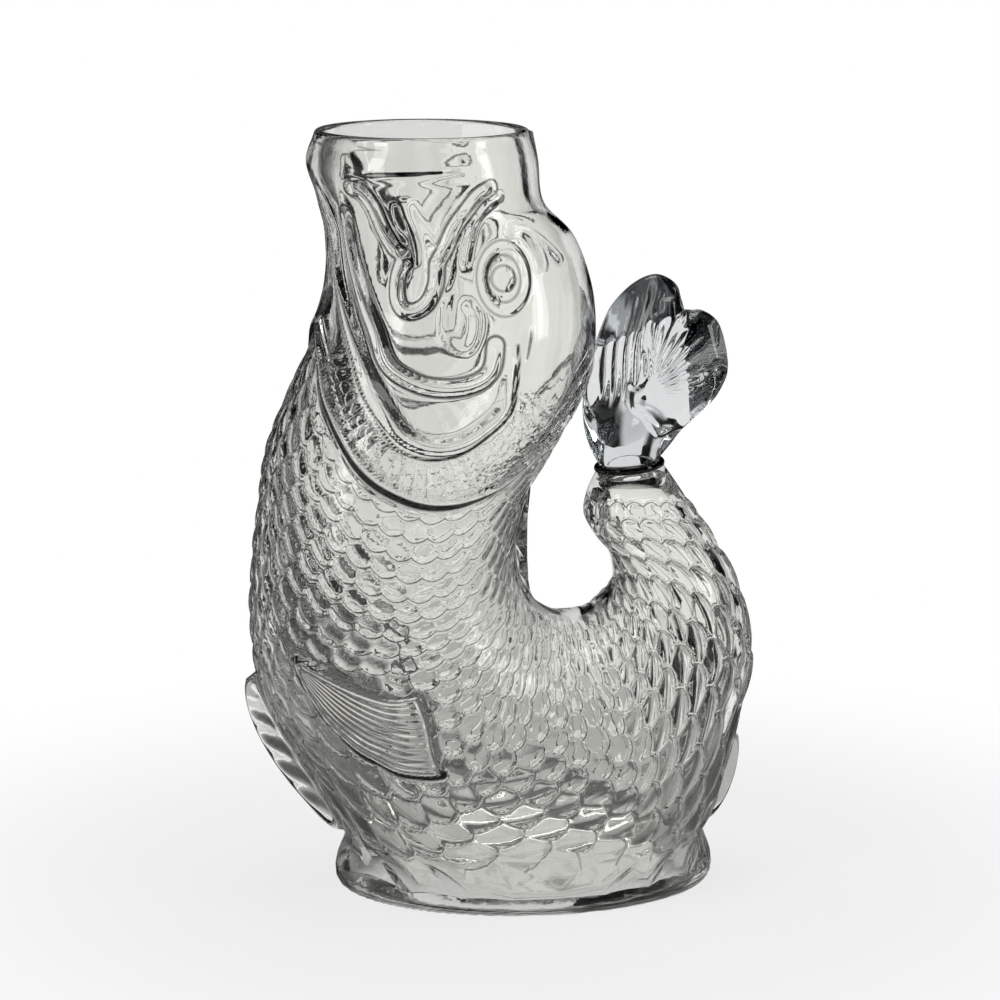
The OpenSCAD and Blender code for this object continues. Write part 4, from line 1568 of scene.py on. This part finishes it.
        away = sums("MULTIPLY", slope, sums("MAXIMUM", ring, beside))
        close = sums.range(far, self.near_floor, (self.near_level, 0.0))
        through_glass = sums("MAXIMUM", sums("MULTIPLY", away, flag), close)
        path = tree.nodes.new("ShaderNodeLightPath")
        eye = path.outputs["Is Camera Ray"]
        tree.links.new(sums("MAXIMUM", through_glass, eye), glow.inputs["Strength"])
        seen = eye
        for kind in ("Is Glossy Ray", "Is Transmission Ray"):
            seen = sums("MAXIMUM", seen, path.outputs[kind])
        blend = tree.nodes.new("ShaderNodeMixShader")
        tree.links.new(sums("MULTIPLY", fade, seen), blend.inputs["Fac"])
        tree.links.new(paper.outputs["BSDF"], blend.inputs[1])
        tree.links.new(glow.outputs["Emission"], blend.inputs[2])
        tree.links.new(blend.outputs["Shader"], output.inputs["Surface"])
        return material

    def world(self) -> None:
        """White surroundings to the eye.

        Glass sees upright dark flags at even turns, a dark band from the horizon up, which is filled a
        little at the front, and a bright top.
        """
        world = bpy.data.worlds.new("studio")
        bpy.context.scene.world = world
        world.use_nodes = True
        tree = world.node_tree
        tree.nodes.clear()
        sums = NodeSums(tree)
        output = tree.nodes.new("ShaderNodeOutputWorld")
        place = tree.nodes.new("ShaderNodeTexCoord")
        axes = tree.nodes.new("ShaderNodeSeparateXYZ")
        tree.links.new(place.outputs["Generated"], axes.inputs["Vector"])
        aside = sums("SUBTRACT", sums("ARCTAN2", axes.outputs["X"], axes.outputs["Y"]), self.flag_turn)
        wave = sums("COSINE", sums("MULTIPLY", aside, self.flags))
        flag = sums.range(wave, self.flag_wave, (self.flag_level, self.backdrop))
        low = sums.range(axes.outputs["Z"], self.low_edge, (1.0, self.between))
        fill = sums.range(sums("ABSOLUTE", aside), self.front_turn, (0.0, self.front_fill))
        wall = sums("MULTIPLY", flag, sums("MAXIMUM", low, fill))
        over = sums.range(axes.outputs["Z"], self.top_edge, (0.0, self.top_level))
        path = tree.nodes.new("ShaderNodeLightPath")
        gloss = sums.range(path.outputs["Is Reflection Ray"], (0.0, 1.0), (1.0, self.gloss_share))
        shown = sums("MULTIPLY", sums("MAXIMUM", wall, over), gloss)
        glow = tree.nodes.new("ShaderNodeBackground")
        glow.inputs["Color"].default_value = (1.0, 1.0, 1.0, 1.0)
        tree.links.new(sums("MAXIMUM", shown, path.outputs["Is Camera Ray"]), glow.inputs["Strength"])
        tree.links.new(glow.outputs["Background"], output.inputs["Surface"])

    def lamp(self, box: SoftBox) -> None:
        """Hangs one soft box that faces the jug."""
        data = bpy.data.lights.new(box.role.value, "AREA")
        data.shape = "RECTANGLE"
        data.size, data.size_y = box.size[0] * MM, box.size[1] * MM
        data.energy = self.lamp_power * box.share
        lamp = new_object(box.role.value, data)
        lamp.location = Vector(box.place) * MM
        facing = lamp.location - Vector(self.look) * MM
        lamp.rotation_euler = facing.to_track_quat("Z", "Y").to_euler()

    def build(self) -> None:
        """Sets up camera, floor, surroundings, lamps and the light paths that thick glass needs."""
        scene = bpy.context.scene
        scene.view_settings.view_transform = "Standard"
        scene.cycles.max_bounces = self.bounces
        scene.cycles.transmission_bounces = self.bounces
        scene.cycles.glossy_bounces = self.bounces // 2
        self.camera()
        self.floor()
        self.card()
        self.world()
        for box in self.boxes:
            self.lamp(box)


CLEAR = BlownGlass("clear_glass", tint=(0.60, 0.61, 0.60), density=10.0, cast=(1.0, 1.0, 0.97),
                   lines=(ScaleCoat(), GillCover(), GillFrill(), SideFin(), HeadRelief()))
SMOKY = BlownGlass("smoky_glass", tint=(0.47, 0.53, 0.57), density=20.0, wave_height=0.06)


def dress(piece: bpy.types.Object, finish: bpy.types.Material, node: str) -> None:
    """Gives a piece its finish and its place in the frame.

    Args:
        piece: The new piece.
        finish: Its material.
        node: The node of the model that it stands for.
    """
    piece.data.materials.append(finish)
    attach(piece, BODY)
    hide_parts(node)
    LOG.info("%s: %d faces, stands for %s", piece.name, len(piece.data.polygons), node)


def main() -> None:
    """Builds the jug and its studio."""
    logging.basicConfig(level=logging.INFO, format="%(message)s")
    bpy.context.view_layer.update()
    Studio().build()
    clear, smoky = CLEAR.material(), SMOKY.material()
    body = JugBody()
    bead = TailBead(body.form)
    fin = TailFin(body.form, bead)
    dress(body.build(), clear, "body")
    dress(bead.build(), clear, "tail_bead")
    dress(fin.build(), smoky, "tail_fin")
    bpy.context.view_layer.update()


if __name__ == "__main__":
    main()
